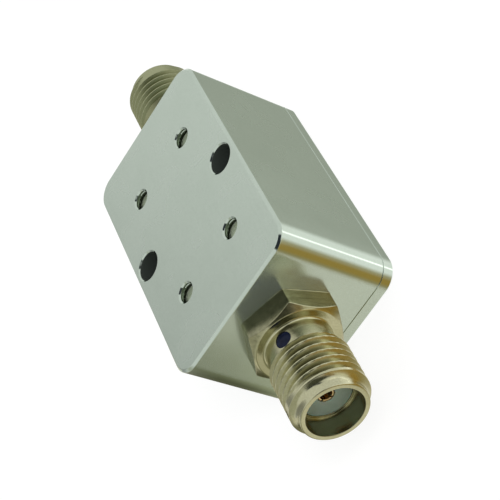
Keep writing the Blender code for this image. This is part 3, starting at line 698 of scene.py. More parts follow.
# %% Cover
SINK_RADIUS, SINK_RIM, COVER_HOLE_RADIUS = 1.5 * MM, 0.17 * MM, 0.875 * MM
SINK_DEPTH = SINK_RIM + SINK_RADIUS - COVER_HOLE_RADIUS
countersink = drilled(
    [
        (SINK_RADIUS, -PAST),
        (SINK_RADIUS, SINK_RIM),
        (COVER_HOLE_RADIUS, SINK_DEPTH),
        (COVER_HOLE_RADIUS, COVER_TOP + PAST),
    ]
)
countersinks = surface("countersinks", *[moved(countersink, x, y) for x, y in COVER_SCREWS])
cover_mesh = carved(cover_blank, mount_holes[1], countersinks)
finish_piece("cover_plate", cover_mesh, aluminium, "satin_aluminium", "cover")

# %% [markdown]
# ## Masks of the jacks
# The masks put painted shade in the mouth and at the roots of the thread, and mark the hexagon, which was brushed
# after it was milled. A jack is round, so the masks use the distance from its axis and the distance along it.
# Both jacks lie on one axis, so an absolute value serves them together.

# %% Masks along and round the jack's axis
MOUTH_EDGE, MOUTH_START = (2.33 * MM, 2.31 * MM), (20.04 * MM, 20.10 * MM)
HEX_FACE_END, HEX_FLATS = (14.42 * MM, 14.38 * MM), (3.45 * MM, 3.55 * MM)
ROOT_RADII, SKIN_RADII = (3.14 * MM, 2.85 * MM), (2.5 * MM, 2.6 * MM)
THREADED, UPPER_SIDE, UPPER, BESIDE = (16.75 * MM, 20.8 * MM), (0.0, 0.45, 0.89), (7.2 * MM, 8.2 * MM), (-0.2 * MM, 0.8 * MM)


def jack_radius(tree, place):
    """Distance of a place from the jacks' common axis, which runs along X at the jack's height."""
    off_axis = vector_of(tree, "SUBTRACT", place, (0.0, 0.0, JACK_AXIS_Z))
    return number_of(tree, "LENGTH", vector_of(tree, "MULTIPLY", off_axis, (0.0, 1.0, 1.0)))


def jack_reach(tree, place):
    """Distance of a place from the block's middle along X, either way."""
    return calculated(tree, "ABSOLUTE", part_of(tree, place, "X"))


def mouth_shade_mask(tree, place):
    """1 on the mouth's wall, past the shoulder and inside the rim, where shade is painted in, and 0 elsewhere."""
    within = ramp(tree, jack_radius(tree, place), *MOUTH_EDGE)
    return product(tree, within, ramp(tree, jack_reach(tree, place), *MOUTH_START))


def hexagon_mask(tree, place):
    """1 on the hexagon's flats, which lie within 2.1 mm of the block's end, and 0 beyond."""
    near = ramp(tree, jack_reach(tree, place), *HEX_FACE_END)
    return product(tree, near, ramp(tree, jack_radius(tree, place), *HEX_FLATS))


def root_shade_mask(tree, place):
    """1 at the thread's roots on the jack's upper +Y part, where shade is painted in, and 0 elsewhere."""
    radius = jack_radius(tree, place)
    return product(
        tree,
        ramp(tree, radius, *ROOT_RADII),
        window(tree, jack_reach(tree, place), *THREADED, 0.1 * MM),
        ramp(tree, radius, *SKIN_RADII),
        ramp(tree, number_of(tree, "DOT_PRODUCT", place, UPPER_SIDE), *UPPER),
        ramp(tree, part_of(tree, place, "Y"), *BESIDE),
    )


# %% [markdown]
# ## Nickel of the jacks
# The jacks are turned from brass and plated with a slightly yellow nickel, much shinier than the block. A lathe
# leaves rings, so the marks change along the jack's axis only. The hexagon's flats are milled, and their marks run
# across it. Clouding gives the plating's slow changes. Layers of darker tone are painted shade in the mouth, in the
# thread's upper grooves, on the neck and on the far jack, and a painted dark reflection on one flat.

# %% Finish of the jacks
NICKEL_LOW, NICKEL_HIGH, NICKEL_SPECK = (0.53, 0.52, 0.34), (0.61, 0.60, 0.41), (0.42, 0.40, 0.25)
# The three tones on this line are painted shade: in the mouth, at the thread's roots and on the far jack.
MOUTH_SHADE, ROOT_SHADE, FAR_JACK_SHADE = (0.11, 0.10, 0.05), (0.10, 0.095, 0.04), (0.31, 0.34, 0.19)
# On the next line, one flat's darker tone is a painted dark reflection and the neck's tone is painted shade; the
# hexagon's tone and its brush marks are its own.
HEX_TONE, FLAT_DARK_REFLECTION, NECK_SHADE, BRUSH_TONE = (0.22, 0.21, 0.12), (0.12, 0.12, 0.06), (0.22, 0.20, 0.09), (0.08, 0.08, 0.04)
ONE_FLAT_WAY, ONE_FLAT, NECK_SPAN = (0.0, 0.284, 0.959), (9.12 * MM, 9.17 * MM), (14.62 * MM, 16.8 * MM)
FAR_SIDE = (-12.0 * MM, -12.5 * MM)


def jack_nickel():
    """Two yellowish tones in slow clouds under layers of painted shade, with fine rings as relief."""
    material, tree, shader = new_material("jack_nickel", Metallic=1.0)
    place = coordinates(tree)
    clouds = masked(tree, clouding, Vector=place, Size=420.0)
    speckle = masked(tree, grain, Vector=place, Size=6500.0)
    rings = masked(tree, streaks, Vector=place, Stretch=(14000.0, 250.0, 250.0))
    brushed = masked(tree, streaks, Vector=place, Stretch=(2200.0, 2200.0, 160.0))
    on_hexagon = hexagon_mask(tree, place)
    one_flat = ramp(tree, number_of(tree, "DOT_PRODUCT", place, ONE_FLAT_WAY), *ONE_FLAT)
    far_side = ramp(tree, part_of(tree, place, "X"), *FAR_SIDE)
    # Painted shade in the mouth, the thread's upper roots, the far jack and the neck; one flat gets a painted dark
    # reflection.
    tone = layered(
        tree,
        blended(tree, clouds, NICKEL_LOW, NICKEL_HIGH),
        (speckle, 0.35, NICKEL_SPECK),
        (mouth_shade_mask(tree, place), 0.55, MOUTH_SHADE),
        (root_shade_mask(tree, place), 0.92, ROOT_SHADE),
        (far_side, 0.68, FAR_JACK_SHADE),
        (on_hexagon, 0.05, HEX_TONE),
        (product(tree, one_flat, on_hexagon), 0.4, FLAT_DARK_REFLECTION),
        # The neck's darker tone is painted shade.
        (window(tree, jack_reach(tree, place), *NECK_SPAN, 0.1 * MM), 0.22, NECK_SHADE),
        (product(tree, on_hexagon, brushed), 0.5, BRUSH_TONE),
    )
    rough = mixed(tree, on_hexagon, scaled(tree, clouds, 0.15, 0.22), 0.2)
    relief = calculated(tree, "ADD", rings, scaled(tree, speckle, 0.0, 0.5))
    feed(
        tree,
        shader,
        Base_Color=tone,
        Roughness=mixed(tree, far_side, rough, 0.42),
        Normal=bumped(tree, relief, 0.08),
    )
    return material


nickel = described(jack_nickel())

# %% [markdown]
# ## A jack's body
# The body is one closed surface. Its rows follow the jack's profile from the stem over the hexagon, neck, thread
# and nose into the mouth, and back through the bore. Round the hexagon the profile changes with the angle: a
# flat's distance is half the width across flats over the cosine, and the chamfer is a cone that cuts it. The
# hexagon's back edge carries a hair-fine burr, heavier on one side, which draws a bright line there. The angles
# are finer beside the hexagon's six corners, which are rounded a little.

# %% Angles and hexagon
HEX_ACROSS, HEX_THICK, HEX_TURN = 7.14 * MM, 2.15 * MM, 43.5
HEX_FACE_RADIUS, HEX_CONE, SEAT, HEX_CORNER_SOFT = 3.4 * MM, 38.0, 0.005 * MM, 1.1
BURR, BURR_WIDTH, BURR_TURN, BURR_LEAST = 0.035 * MM, 0.05 * MM, 13.5, 0.12
NECK_RADIUS, NECK_END, NECK_FILLET = 2.7 * MM, 3.95 * MM, 0.28 * MM
THREAD_RADIUS, THREAD_START, THREAD_END = 3.175 * MM, 4.4 * MM, 8.55 * MM
STEM_END, BORE_RADIUS = -2.5 * MM, 2.1 * MM

side_angles = np.concatenate([[-0.9, -0.45, 0.0, 0.45, 0.9], np.linspace(1.6, 58.4, 36)])
jack_angles = (HEX_TURN + side_angles[None, :] + 60.0 * np.arange(6)[:, None]).ravel()
jack_angles = np.append(jack_angles, jack_angles[0] + 360.0)


def hexagon_radius(theta):
    """Distance of the flats: half the width over the cosine of the angle from a flat's middle, which stops
    growing softly just before a corner."""
    from_corner = np.abs((theta - HEX_TURN + 30.0) % 60.0 - 30.0)
    soft = np.sqrt(from_corner**2 + HEX_CORNER_SOFT**2)
    return HEX_ACROSS / 2 / np.cos(np.radians(30.0 - np.minimum(soft, 30.0)))


def hexagon_rows(theta):
    """Profile (x, radius) of stem, hexagon and neck for each angle. The burr goes with the cube of a cosine."""
    flat = hexagon_radius(theta)
    even = np.ones_like(flat)
    side = np.clip(np.cos(np.radians(theta - BURR_TURN)), 0.0, 1.0) ** 3
    burr = BURR * (BURR_LEAST + (1.0 - BURR_LEAST) * side)
    cone = HEX_THICK - (flat - HEX_FACE_RADIUS) * math.tan(math.radians(HEX_CONE))
    # Each line: x, radius and the corner's rounding
    corners = [
        (STEM_END * even, BORE_RADIUS * even, 0),
        (STEM_END * even, THREAD_RADIUS * even, 0.08 * MM),
        (SEAT * even, THREAD_RADIUS * even, 0.02 * MM),
        (SEAT * even, flat + burr, 0.015 * MM),
        (SEAT + BURR_WIDTH * even, flat + burr, 0.015 * MM),
        (SEAT + BURR_WIDTH + burr, flat, 0.01 * MM),
        (cone, flat, 0.05 * MM),
        (HEX_THICK * even, HEX_FACE_RADIUS * even, 0.05 * MM),
        (HEX_THICK * even, NECK_RADIUS * even, NECK_FILLET),
        (NECK_END * even, NECK_RADIUS * even, 0),
    ]
    profile = np.stack([np.stack([x, radius], axis=-1) for x, radius, _ in corners])
    return softened(profile, [size for *_, size in corners], steps=4)


print("hexagon over its corners:", round(2 * float(hexagon_radius(jack_angles).max()) / MM, 2), "mm")

# %% [markdown]
# ## The jack's thread
# The thread is the standard 1/4-36 one, right-handed. The groove starts near the nose and gets to its full depth
# within a fifth of a turn, and it runs back into the neck. The radius is the smallest of the thread, the ramp at
# the neck and the taper at the nose, so the thread fades out at both ends as a cut one does.

# %% Thread and mouth
JACK_PITCH, JACK_CREST, JACK_DEPTH = 25.4 / 36 * MM, 0.09 * MM, 0.43 * MM
GROOVE_FIRST_ANGLE, GROOVE_FIRST_X, GROOVE_RUN_IN = 115.0, 8.2 * MM, 70.0
NOSE_START, NOSE_HOLLOW, JACK_REACH, RIM_ROUNDING = 9.3 * MM, 3.0, 9.6 * MM, 0.11 * MM
MOUTH_RADIUS, MOUTH_FLOOR = 2.3 * MM, 7.7 * MM


def thread_rows(theta):
    """Profile (x, radius) of the threaded part for each angle; past the first angle the last groove is absent."""
    x = np.linspace(NECK_END + 0.03 * MM, NOSE_START - 0.02 * MM, 236)[:, None]
    wound = (theta - GROOVE_FIRST_ANGLE) % 360.0 - 360.0
    turns = (x - GROOVE_FIRST_X) / JACK_PITCH - wound[None, :] / 360.0
    number = np.minimum(np.round(turns), 0.0)
    distance = np.abs(turns - number) * JACK_PITCH
    depth = np.clip(((JACK_PITCH - JACK_CREST) / 2 - distance) * THREAD_SLOPE, 0.0, JACK_DEPTH)
    begun = np.clip(-wound / GROOVE_RUN_IN, 0.0, 1.0)[None, :]
    depth = np.where(number == 0.0, np.minimum(depth, JACK_DEPTH * begun), depth)
    ramp_up = NECK_RADIUS + (x - NECK_END) / (THREAD_START - NECK_END) * (THREAD_RADIUS - NECK_RADIUS)
    nose = np.clip((x - THREAD_END) / (NOSE_START - THREAD_END), 0.0, 1.0)
    taper = NECK_RADIUS + (1.0 - nose) ** NOSE_HOLLOW * (THREAD_RADIUS - NECK_RADIUS)
    radius = np.minimum(np.minimum(THREAD_RADIUS - depth, ramp_up), taper)
    return np.stack([x + 0 * radius, radius], axis=-1)


def mouth_rows(theta):
    """Profile (x, radius) from the nose over the rim into the mouth, its shoulder and the bore."""
    # Each line: x, radius and the corner's rounding
    corners = [
        (NOSE_START, NECK_RADIUS, 0),
        (JACK_REACH, NECK_RADIUS, RIM_ROUNDING),
        (JACK_REACH, MOUTH_RADIUS, 0.05 * MM),
        (MOUTH_FLOOR, MOUTH_RADIUS, 0.03 * MM),
        (MOUTH_FLOOR, BORE_RADIUS, 0.03 * MM),
        (STEM_END, BORE_RADIUS, 0),
    ]
    rows = softened([corner[:2] for corner in corners], [corner[2] for corner in corners])
    return np.broadcast_to(rows, (len(rows), len(theta), 2))


print("thread: pitch", round(JACK_PITCH / MM, 4), "mm,", round((THREAD_END - THREAD_START) / JACK_PITCH, 1), "turns")

# %% [markdown]
# ## The whole body
# The rows lie in a plane through the jack's axis until one function turns them about it. The hole for the epoxy
# goes across: its grid is drawn about its own axis, at an angle round the neck, and is cut out of the body.

# %% Body with its cross hole
EPOXY_X, EPOXY_TURN, EPOXY_RADIUS = 3.25 * MM, 74.0, 0.68 * MM


def jack_point(rows, theta):
    """Points (x, r cos t, r sin t) of (x, radius) rows, moved out to port 1."""
    turn = np.radians(theta)
    x, radius = rows[..., 0], rows[..., 1]
    y, z = radius * np.cos(turn), radius * np.sin(turn)
    return np.stack([BODY_END + x, y, JACK_AXIS_Z + z], axis=-1)


def radial_points(radius, height, count=40):
    """Grid about the epoxy hole's own axis: height is the distance from the jack's axis."""
    local = about_z(radius, height, angles(count))
    turn = math.radians(EPOXY_TURN)
    out, across = local[..., 2], local[..., 0]
    y = out * math.cos(turn) - across * math.sin(turn)
    z = out * math.sin(turn) + across * math.cos(turn)
    return np.stack([BODY_END + EPOXY_X + local[..., 1], y, JACK_AXIS_Z + z], axis=-1)


def epoxy_drill():
    """Tool that drills from the jack's axis out through the neck."""
    wall = radial_points(np.full(2, EPOXY_RADIUS), np.array([0.0, NECK_RADIUS + PAST]))
    return surface("epoxy_drill", closed_ends(wall))


body_rows = np.concatenate([hexagon_rows(jack_angles), thread_rows(jack_angles), mouth_rows(jack_angles)])
jack_body = carved(surface("jack_body", jack_point(body_rows, jack_angles)), epoxy_drill())
print("jack body", len(jack_body.polygons), "faces")

# %% [markdown]
# ## Both jacks
# Port 2 is port 1 turned half round the vertical, so every piece of a jack is made once, and a turned copy of its
# mesh makes the other. The turn goes into the mesh, and the object stays at the origin.

# %% Put a piece on both ports
HALF_TURN = Matrix.Rotation(math.pi, 4, "Z")


def on_both_ports(name, mesh, material, slot):
    """Piece at port 1, and its copy at port 2."""
    other = mesh.copy()
    other.transform(HALF_TURN)
    finish_piece(f"jack_1_{name}", mesh, material, slot, f"port_1_{name}")
    finish_piece(f"jack_2_{name}", other, material, slot, f"port_2_{name}")


on_both_ports("body", jack_body, nickel, "jack_nickel")

# %% [markdown]
# ## Finishes in the mouth
# A white waxy insulator fills the bore up to the mouth's shoulder. The gilt contact in its middle has a slotted
# socket, and a drop of dark epoxy in the neck locks both. The insulator lets a little light in, so it gets some
# subsurface scattering. Gilt and epoxy only need clouds that change their tone and their gloss together, so one
# function serves them, and later the copper, the chips and the solder too.

# %% Finishes of insulator, contact and epoxy
def insulator_white():
    """White plastic that lets some light in, with faint turning rings, in a grey-green tone that paints in the bore's
    shade.
    """
    material, tree, shader = new_material(
        "insulator_white", Roughness=0.35, Subsurface_Weight=0.25, Subsurface_Scale=0.6 * MM
    )
    place = coordinates(tree)
    clouds = masked(tree, clouding, Vector=place, Size=900.0)
    rings = masked(tree, streaks, Vector=place, Stretch=(9000.0, 2500.0, 2500.0))
    # A grey-green well below white: painted shade of the bore round the insulator.
    tone = blended(tree, clouds, (0.40, 0.50, 0.40), (0.48, 0.58, 0.48))
    feed(tree, shader, Base_Color=tone, Normal=bumped(tree, rings, 0.08))
    return material


def patterned(name, effect, size, tones, gloss, **plain):
    """Finish whose tone and roughness both go from one value to the other with a shared effect."""
    material, tree, shader = new_material(name, **plain)
    mask = masked(tree, effect, Vector=coordinates(tree), Size=size)
    feed(tree, shader, Base_Color=blended(tree, mask, *tones), Roughness=scaled(tree, mask, *gloss))
    return material


white = described(insulator_white())
gilt = described(
    patterned("contact_gilt", clouding, 1500.0, ((0.80, 0.58, 0.30), (0.88, 0.68, 0.40)), (0.2, 0.32), Metallic=1.0)
)
epoxy_tones = (0.003, 0.005, 0.016), (0.008, 0.013, 0.035)
epoxy = described(patterned("epoxy_dark", clouding, 2500.0, epoxy_tones, (0.12, 0.25), Specular_IOR_Level=0.12))

# %% [markdown]
# ## Insulator
# The insulator is a tube: a softened profile that is turned about the jack's axis and closed on itself. The
# epoxy's hole goes through it too.

# %% Insulator
CONTACT_BORE, INSULATOR_RADIUS = 0.685 * MM, 2.05 * MM
round_angles = angles(72)


def turned(corners, sizes, closed=False):
    """Surface of a softened (x, radius) profile turned about the jack's axis."""
    rows = softened(corners, sizes)
    if closed:
        rows = np.concatenate([rows, rows[:1]])
    rows = np.broadcast_to(rows, (len(rows), len(round_angles), 2))
    return jack_point(rows, round_angles)


insulator_tube = turned(
    [
        (STEM_END, CONTACT_BORE),
        (STEM_END, INSULATOR_RADIUS),
        (MOUTH_FLOOR, INSULATOR_RADIUS),
        (MOUTH_FLOOR, CONTACT_BORE),
    ],
    [0.05 * MM, 0.05 * MM, 0.04 * MM, 0.04 * MM],
    closed=True,
)
insulator = carved(surface("insulator", insulator_tube), epoxy_drill())
on_both_ports("insulator", insulator, white, "insulator_white")

# %% [markdown]
# ## Contact
# The contact is a turned pin with a waist, where the epoxy holds it, and a blind socket. Two crossed saw cuts
# split the socket into four springs. The same cross, drawn larger and tapered, later sinks into the screws' heads.

# %% Contact
CONTACT_RADIUS, CONTACT_HOLE, CONTACT_WAIST, TAIL_RADIUS = 0.635 * MM, 0.46 * MM, 0.48 * MM, 0.535 * MM
TAIL_END, CONTACT_FLOOR, WAIST_HALF = -3.8 * MM, 5.2 * MM, 0.65 * MM
SLOT_HALF, SLOT_LENGTH = 0.08 * MM, 1.8 * MM


def cross_outline(half, reach):
    """Outline (x, y) of a cross: three corners of one arm, turned by four quarters, the first one again."""
    corner = np.array([(reach, -half), (reach, half), (half, half)])
    turns = np.radians(90.0 * np.arange(4))[:, None]
    x = (corner[:, 0] * np.cos(turns) - corner[:, 1] * np.sin(turns)).ravel()
    y = (corner[:, 0] * np.sin(turns) + corner[:, 1] * np.cos(turns)).ravel()
    return np.append(x, x[0]), np.append(y, y[0])


def slot_tool():
    """Two crossed saw cuts, 0.16 mm wide, from past the socket's end to their depth."""
    y, z = cross_outline(SLOT_HALF, CONTACT_RADIUS + PAST)
    x = np.array([MOUTH_FLOOR - SLOT_LENGTH, MOUTH_FLOOR + PAST])[:, None] + 0 * y
    return surface("slots", closed_ends(np.stack([BODY_END + x, y + 0 * x, JACK_AXIS_Z + z + 0 * x], axis=-1)))


contact_grid = turned(
    [
        (TAIL_END, 0.0),
        (TAIL_END, TAIL_RADIUS),
        (TAIL_END + 0.1 * MM, CONTACT_RADIUS),
        (EPOXY_X - WAIST_HALF, CONTACT_RADIUS),
        (EPOXY_X - WAIST_HALF, CONTACT_WAIST),
        (EPOXY_X + WAIST_HALF, CONTACT_WAIST),
        (EPOXY_X + WAIST_HALF, CONTACT_RADIUS),
        (MOUTH_FLOOR, CONTACT_RADIUS),
        (MOUTH_FLOOR, CONTACT_HOLE),
        (CONTACT_FLOOR, CONTACT_HOLE),
        (CONTACT_FLOOR - 0.2 * MM, 0.0),
    ],
    [0, 0.03 * MM, 0.03 * MM, 0, 0, 0, 0, 0.05 * MM, 0.05 * MM, 0.02 * MM, 0],
)
on_both_ports("contact", carved(surface("contact", contact_grid), slot_tool()), gilt, "contact_gilt")

# %% [markdown]
# ## Epoxy
# The epoxy fills the cross hole from the contact to the neck's skin. Its top is a low drop: the radius shrinks in
# steps while the height flattens out.

# %% Epoxy plug
plug_radius = np.array([0.0, 0.665, 0.665, 0.63, 0.5, 0.33, 0.16, 0.0]) * MM
plug_height = np.array([0.53, 0.53, 2.60, 2.625, 2.655, 2.672, 2.68, 2.682]) * MM
on_both_ports("epoxy", surface("epoxy_plug", radial_points(plug_radius, plug_height)), epoxy, "epoxy_dark")

# %% [markdown]
# ## Steel of the screws
# The screws are plain steel with a fine speckle. Only the tips of the board screws show, down in the tapped holes.
# A tip was sawn, and above a height its tone is painted shade of the hole with a painted greenish reflection of the
# hole's walls, streaky where it was sawn; less of it is mirror.

# %% Finish of the screws
STEEL_LOW, STEEL_HIGH, STEEL_SPECK = (0.46, 0.48, 0.44), (0.56, 0.58, 0.54), (0.3, 0.31, 0.28)
# The tip's two tones are painted shade of the hole with a painted greenish reflection of its walls.
TIP_SHADE_LOW, TIP_SHADE_HIGH, TIP_HEIGHT = (0.36, 0.43, 0.30), (0.50, 0.56, 0.42), (10.61 * MM, 10.63 * MM)


def screw_steel():
    """Clouded, speckled steel; above a height the sawn tip gets painted shade with a painted greenish reflection."""
    material, tree, shader = new_material("screw_steel")
    place = coordinates(tree)
    clouds = masked(tree, clouding, Vector=place, Size=1200.0)
    speckle = masked(tree, grain, Vector=place, Size=8000.0)
    sawn = masked(tree, streaks, Vector=place, Stretch=(9000.0, 2500.0, 300.0))
    tip = ramp(tree, part_of(tree, place, "Z"), *TIP_HEIGHT)
    tone = layered(tree, blended(tree, clouds, STEEL_LOW, STEEL_HIGH), (speckle, 0.4, STEEL_SPECK))
    feed(
        tree,
        shader,
        Base_Color=blended(tree, tip, tone, blended(tree, sawn, TIP_SHADE_LOW, TIP_SHADE_HIGH)),
        Metallic=scaled(tree, tip, 1.0, 0.3),
        Roughness=scaled(tree, clouds, 0.25, 0.38),
        Normal=bumped(tree, speckle, 0.1),
    )
    return material


steel = described(screw_steel())

# %% [markdown]
# ## Board screws
# A board screw has a domed head with a cross recess, a shank that is threaded with the same groove function as
# the holes, and a chamfered tip. Its shank is one grid: the radius is the smaller of the thread and the chamfer.

# %% Board screws
SCREW_SEAT, SCREW_TIP, HEAD_RADIUS, HEAD_HEIGHT, HEAD_RIM = 6.638 * MM, 10.638 * MM, 1.75 * MM, 1.3 * MM, 0.6 * MM
SHANK_RADIUS, SHANK_DEPTH, SHANK_FADE, TIP_RADIUS = 0.77 * MM, 0.17 * MM, 0.3 * MM, 0.72 * MM
RECESS_HALF, RECESS_REACH, RECESS_DEPTH, RECESS_TAPER = 0.17 * MM, 0.85 * MM, 0.6 * MM, 0.55


def recess_tool(mouth):
    """Tapered cross that sinks upwards into a head from its mouth's height."""
    x, y = cross_outline(RECESS_HALF, RECESS_REACH)
    heights = np.array([mouth - PAST, mouth + RECESS_DEPTH])
    size = np.array([1.0 + (1.0 - RECESS_TAPER) * PAST / RECESS_DEPTH, RECESS_TAPER])[:, None]
    return surface("recess", closed_ends(np.stack([x * size, y * size, heights[:, None] + 0 * x], axis=-1)))


def board_screw_mesh():
    """Domed head, shank with an M2 thread in step with the hole's, and a chamfered tip."""
    theta = angles(60)
    quarter = np.radians(np.linspace(0, 90, 10))
    dome = HEAD_RIM + (HEAD_HEIGHT - HEAD_RIM) * np.cos(quarter)
    radii = np.append(HEAD_RADIUS * np.sin(quarter), [HEAD_RADIUS, SHANK_RADIUS + 0.01 * MM])
    head = about_z(radii, np.append(SCREW_SEAT - dome, [SCREW_SEAT, SCREW_SEAT]), theta)
    z = np.append(np.arange(SCREW_SEAT + 0.01 * MM, SCREW_TIP, M2_STEP), SCREW_TIP)[:, None]
    fade = np.clip((z - SCREW_SEAT) / SHANK_FADE, 0.0, 1.0)
    cut = groove(z, theta[None, :], M2_PITCH, M2_START, M2_CREST, M2_DEPTH)
    thread = SHANK_RADIUS + fade * np.minimum(cut, SHANK_DEPTH)
    shank = about_z(np.minimum(thread, TIP_RADIUS + (SCREW_TIP - z)), z + 0 * thread, theta)
    end = about_z(np.array([TIP_RADIUS, 0.0]), np.array([SCREW_TIP, SCREW_TIP]), theta)
    whole = surface("board_screw", np.concatenate([head, shank, end]))
    return carved(whole, recess_tool(SCREW_SEAT - HEAD_HEIGHT))


def place_screws(name, mesh, points):
    """One finished screw at each (x, y) point."""
    for number, (x, y) in enumerate(points, 1):
        copy = mesh.copy()
        copy.transform(Matrix.Translation((x, y, 0)))
        finish_piece(f"{name}_turned_{number}", copy, steel, "screw_steel", f"{name}_{number}")


place_screws("board_screw", board_screw_mesh(), BOARD_SCREWS)

# %% [markdown]
# ## Cover screws
# The cover screws are countersunk, and their flat heads lie just inside the cover's face. Their shanks are plain,
# because nothing of them shows.

# %% Cover screws
FLAT_HEAD = 0.05 * MM


def cover_screw_mesh():
    """Countersunk head with its flat side at 0.05 mm, and a plain shank at the tap's size."""
    profile = np.array(
        [(0.0, 0.05), (1.45, 0.05), (1.45, 0.17), (0.575, 1.045), (0.575, 3.95), (0.475, 4.05), (0.0, 4.05)]
    )
    rows = softened(profile * MM, [0, 0.03 * MM, 0.03 * MM, 0, 0, 0, 0])[:, 0]
    solid = surface("cover_screw", about_z(rows[:, 0], rows[:, 1], angles(64)))
    return carved(solid, recess_tool(FLAT_HEAD))


place_screws("cover_screw", cover_screw_mesh(), COVER_SCREWS)

# %% [markdown]
# ## Pieces that keep their CAD shape
# The board, coils, chips and solder stand inside the closed housing. Their solids are right as they are, so
# they only get finishes: a green masked laminate with a weave, enamelled copper, ceramic with tinned ends, and
# bright solder. The weave is the larger of two sets of streaks that cross.

# %% Finishes of the board and its parts
def board_laminate():
    """Two greens that change with a weave, which also gives the relief."""
    material, tree, shader = new_material("board_laminate", Roughness=0.45)
    place = coordinates(tree)
    across = masked(tree, streaks, Vector=place, Stretch=(5000.0, 300.0, 300.0))
    along = masked(tree, streaks, Vector=place, Stretch=(300.0, 5000.0, 300.0))
    weave = calculated(tree, "MAXIMUM", across, along)
    tone = blended(tree, weave, (0.03, 0.16, 0.07), (0.06, 0.24, 0.11))
    feed(tree, shader, Base_Color=tone, Normal=bumped(tree, weave, 0.15))
    return material


copper_tones = (0.62, 0.22, 0.09), (0.74, 0.32, 0.15)
chip_tones = (0.42, 0.30, 0.18), (0.30, 0.20, 0.12)
solder_tones = (0.52, 0.52, 0.50), (0.66, 0.66, 0.64)
kept = {
    "circuit_board": board_laminate(),
    "series_coil": patterned("coil_copper", clouding, 1800.0, copper_tones, (0.15, 0.3), Metallic=1.0),
    "series_capacitor": patterned("chip_ceramic", grain, 14000.0, chip_tones, (0.4, 0.6)),
    "port": patterned("solder_tin", clouding, 3500.0, solder_tones, (0.2, 0.4), Metallic=1.0),
}
kept["shunt_coil"], kept["shunt_capacitor"] = kept["series_coil"], kept["series_capacitor"]
for node_name, node_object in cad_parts.items():
    if node_object.hide_render:
        continue
    family = next(word for word in kept if node_name.startswith(word))
    node_object.data.materials.clear()
    node_object.data.materials.append(kept[family])
    print(node_name, "keeps its shape, in", kept[family].name)

# %% [markdown]
# ## Floor
# The object stands on a plain white floor. To the camera, and in what metal mirrors, the floor is close to pure
# white: most of that comes from emission, and a diffuse share keeps the object's soft shadow. Light that bounces
# off it sees an ordinary pale grey, so it isn't lit twice.

# %% Floor
FLOOR_RADIUS = 1.2


def white_floor():
    """Diffuse white, but a glow with a diffuse share for rays from the camera, a mirror or glass."""
    material, tree, shader = new_material("white_floor", Roughness=0.9, Base_Color=(0.8, 0.8, 0.8, 1.0))
    lit = put(tree, "ShaderNodeBsdfDiffuse", {"Color": (0.22, 0.22, 0.22, 1.0)})
    glow = put(tree, "ShaderNodeEmission", {"Color": (1.0, 1.0, 1.0, 1.0), "Strength": 0.85})
    shown = put(tree, "ShaderNodeAddShader", {0: lit.outputs[0], 1: glow.outputs[0]})
    path = put(tree, "ShaderNodeLightPath").outputs
    seen = calculated(tree, "MAXIMUM", path["Is Camera Ray"], path["Is Glossy Ray"])
    seen = calculated(tree, "MAXIMUM", seen, path["Is Transmission Ray"])
    both = put(tree, "ShaderNodeMixShader", {0: seen, 1: shader.outputs[0], 2: shown.outputs[0]})
    output = next(n for n in tree.nodes if n.type == "OUTPUT_MATERIAL")
    fill(tree, output.inputs["Surface"], both.outputs[0])
    return material


floor_mesh = surface("floor", about_z(np.array([FLOOR_RADIUS, 0.0]), np.zeros(2), angles(96)))
floor_mesh.materials.append(white_floor())
floor = add_object("floor", floor_mesh)
print("floor", 2 * FLOOR_RADIUS, "m across")

# %% [markdown]
# ## What the metal mirrors
# Bare metal shows the tones of its surroundings, so a photographer lays cards round a shiny object. Here one
# glowing sheet lies on the floor, and only mirrored rays see it: its tones are painted reflections of soft-edged
# cards and of the shade beside the block. Its columns follow the rays: a wall whose normal has the azimuth f
# mirrors the camera's line of sight towards 2 f - 27 degrees, so a rounded corner spreads a quarter turn over half a
# circle. A column's tone is then the tone of one upright line on the block.

# %% Columns and rows of the sheet
SIGHT_TURN, BEYOND_SIDE, SHEET_HEIGHT = 27.0, 30.0 * MM, 0.02 * MM


def wall_line():
    """Points (x, y) along the walls that the camera sees, with their normals' azimuths: side, corner, end, corner."""
    side, end = BODY_SIDE - CORNER_RADIUS, BODY_END - CORNER_RADIUS
    first, second = np.linspace(90, 0, 61), np.linspace(0, -60, 31)
    along, across = np.linspace(-end - BEYOND_SIDE, end, 12)[:-1], np.linspace(side, -side, 34)[1:-1]
    azimuth = np.concatenate([0 * along + 90, first, 0 * across, second])
    x = np.concatenate([along, end + 0 * first, end + 0 * across, end + 0 * second])
    y = np.concatenate([side + 0 * along, side + 0 * first, across, -side + 0 * second])
    turn = np.radians(azimuth)
    return x + CORNER_RADIUS * np.cos(turn), y + CORNER_RADIUS * np.sin(turn), azimuth


x, y, azimuth = wall_line()
reach = np.array([0, 1, 2, 3.5, 5, 7, 9, 12, 15, 18, 22, 28, 40, 80, 300, 1100])[:, None] * MM
heading = np.radians(2 * azimuth - SIGHT_TURN)
flat_height = np.full((len(reach), len(x)), SHEET_HEIGHT)
sheet_grid = np.stack([x + reach * np.cos(heading), y + reach * np.sin(heading), flat_height], axis=-1)
print("sheet of cards:", sheet_grid.shape[:2], "rows and columns")

# %% [markdown]
# ## Tones of the sheet
# The tones are painted reflections of the surroundings as the block's own walls mirror them: white and grey cards
# round the near corner with a warm one between them, painted shade under the jack and beside the block, and a painted
# glint. Each edge is a smooth function, so nothing on the metal looks cut out.

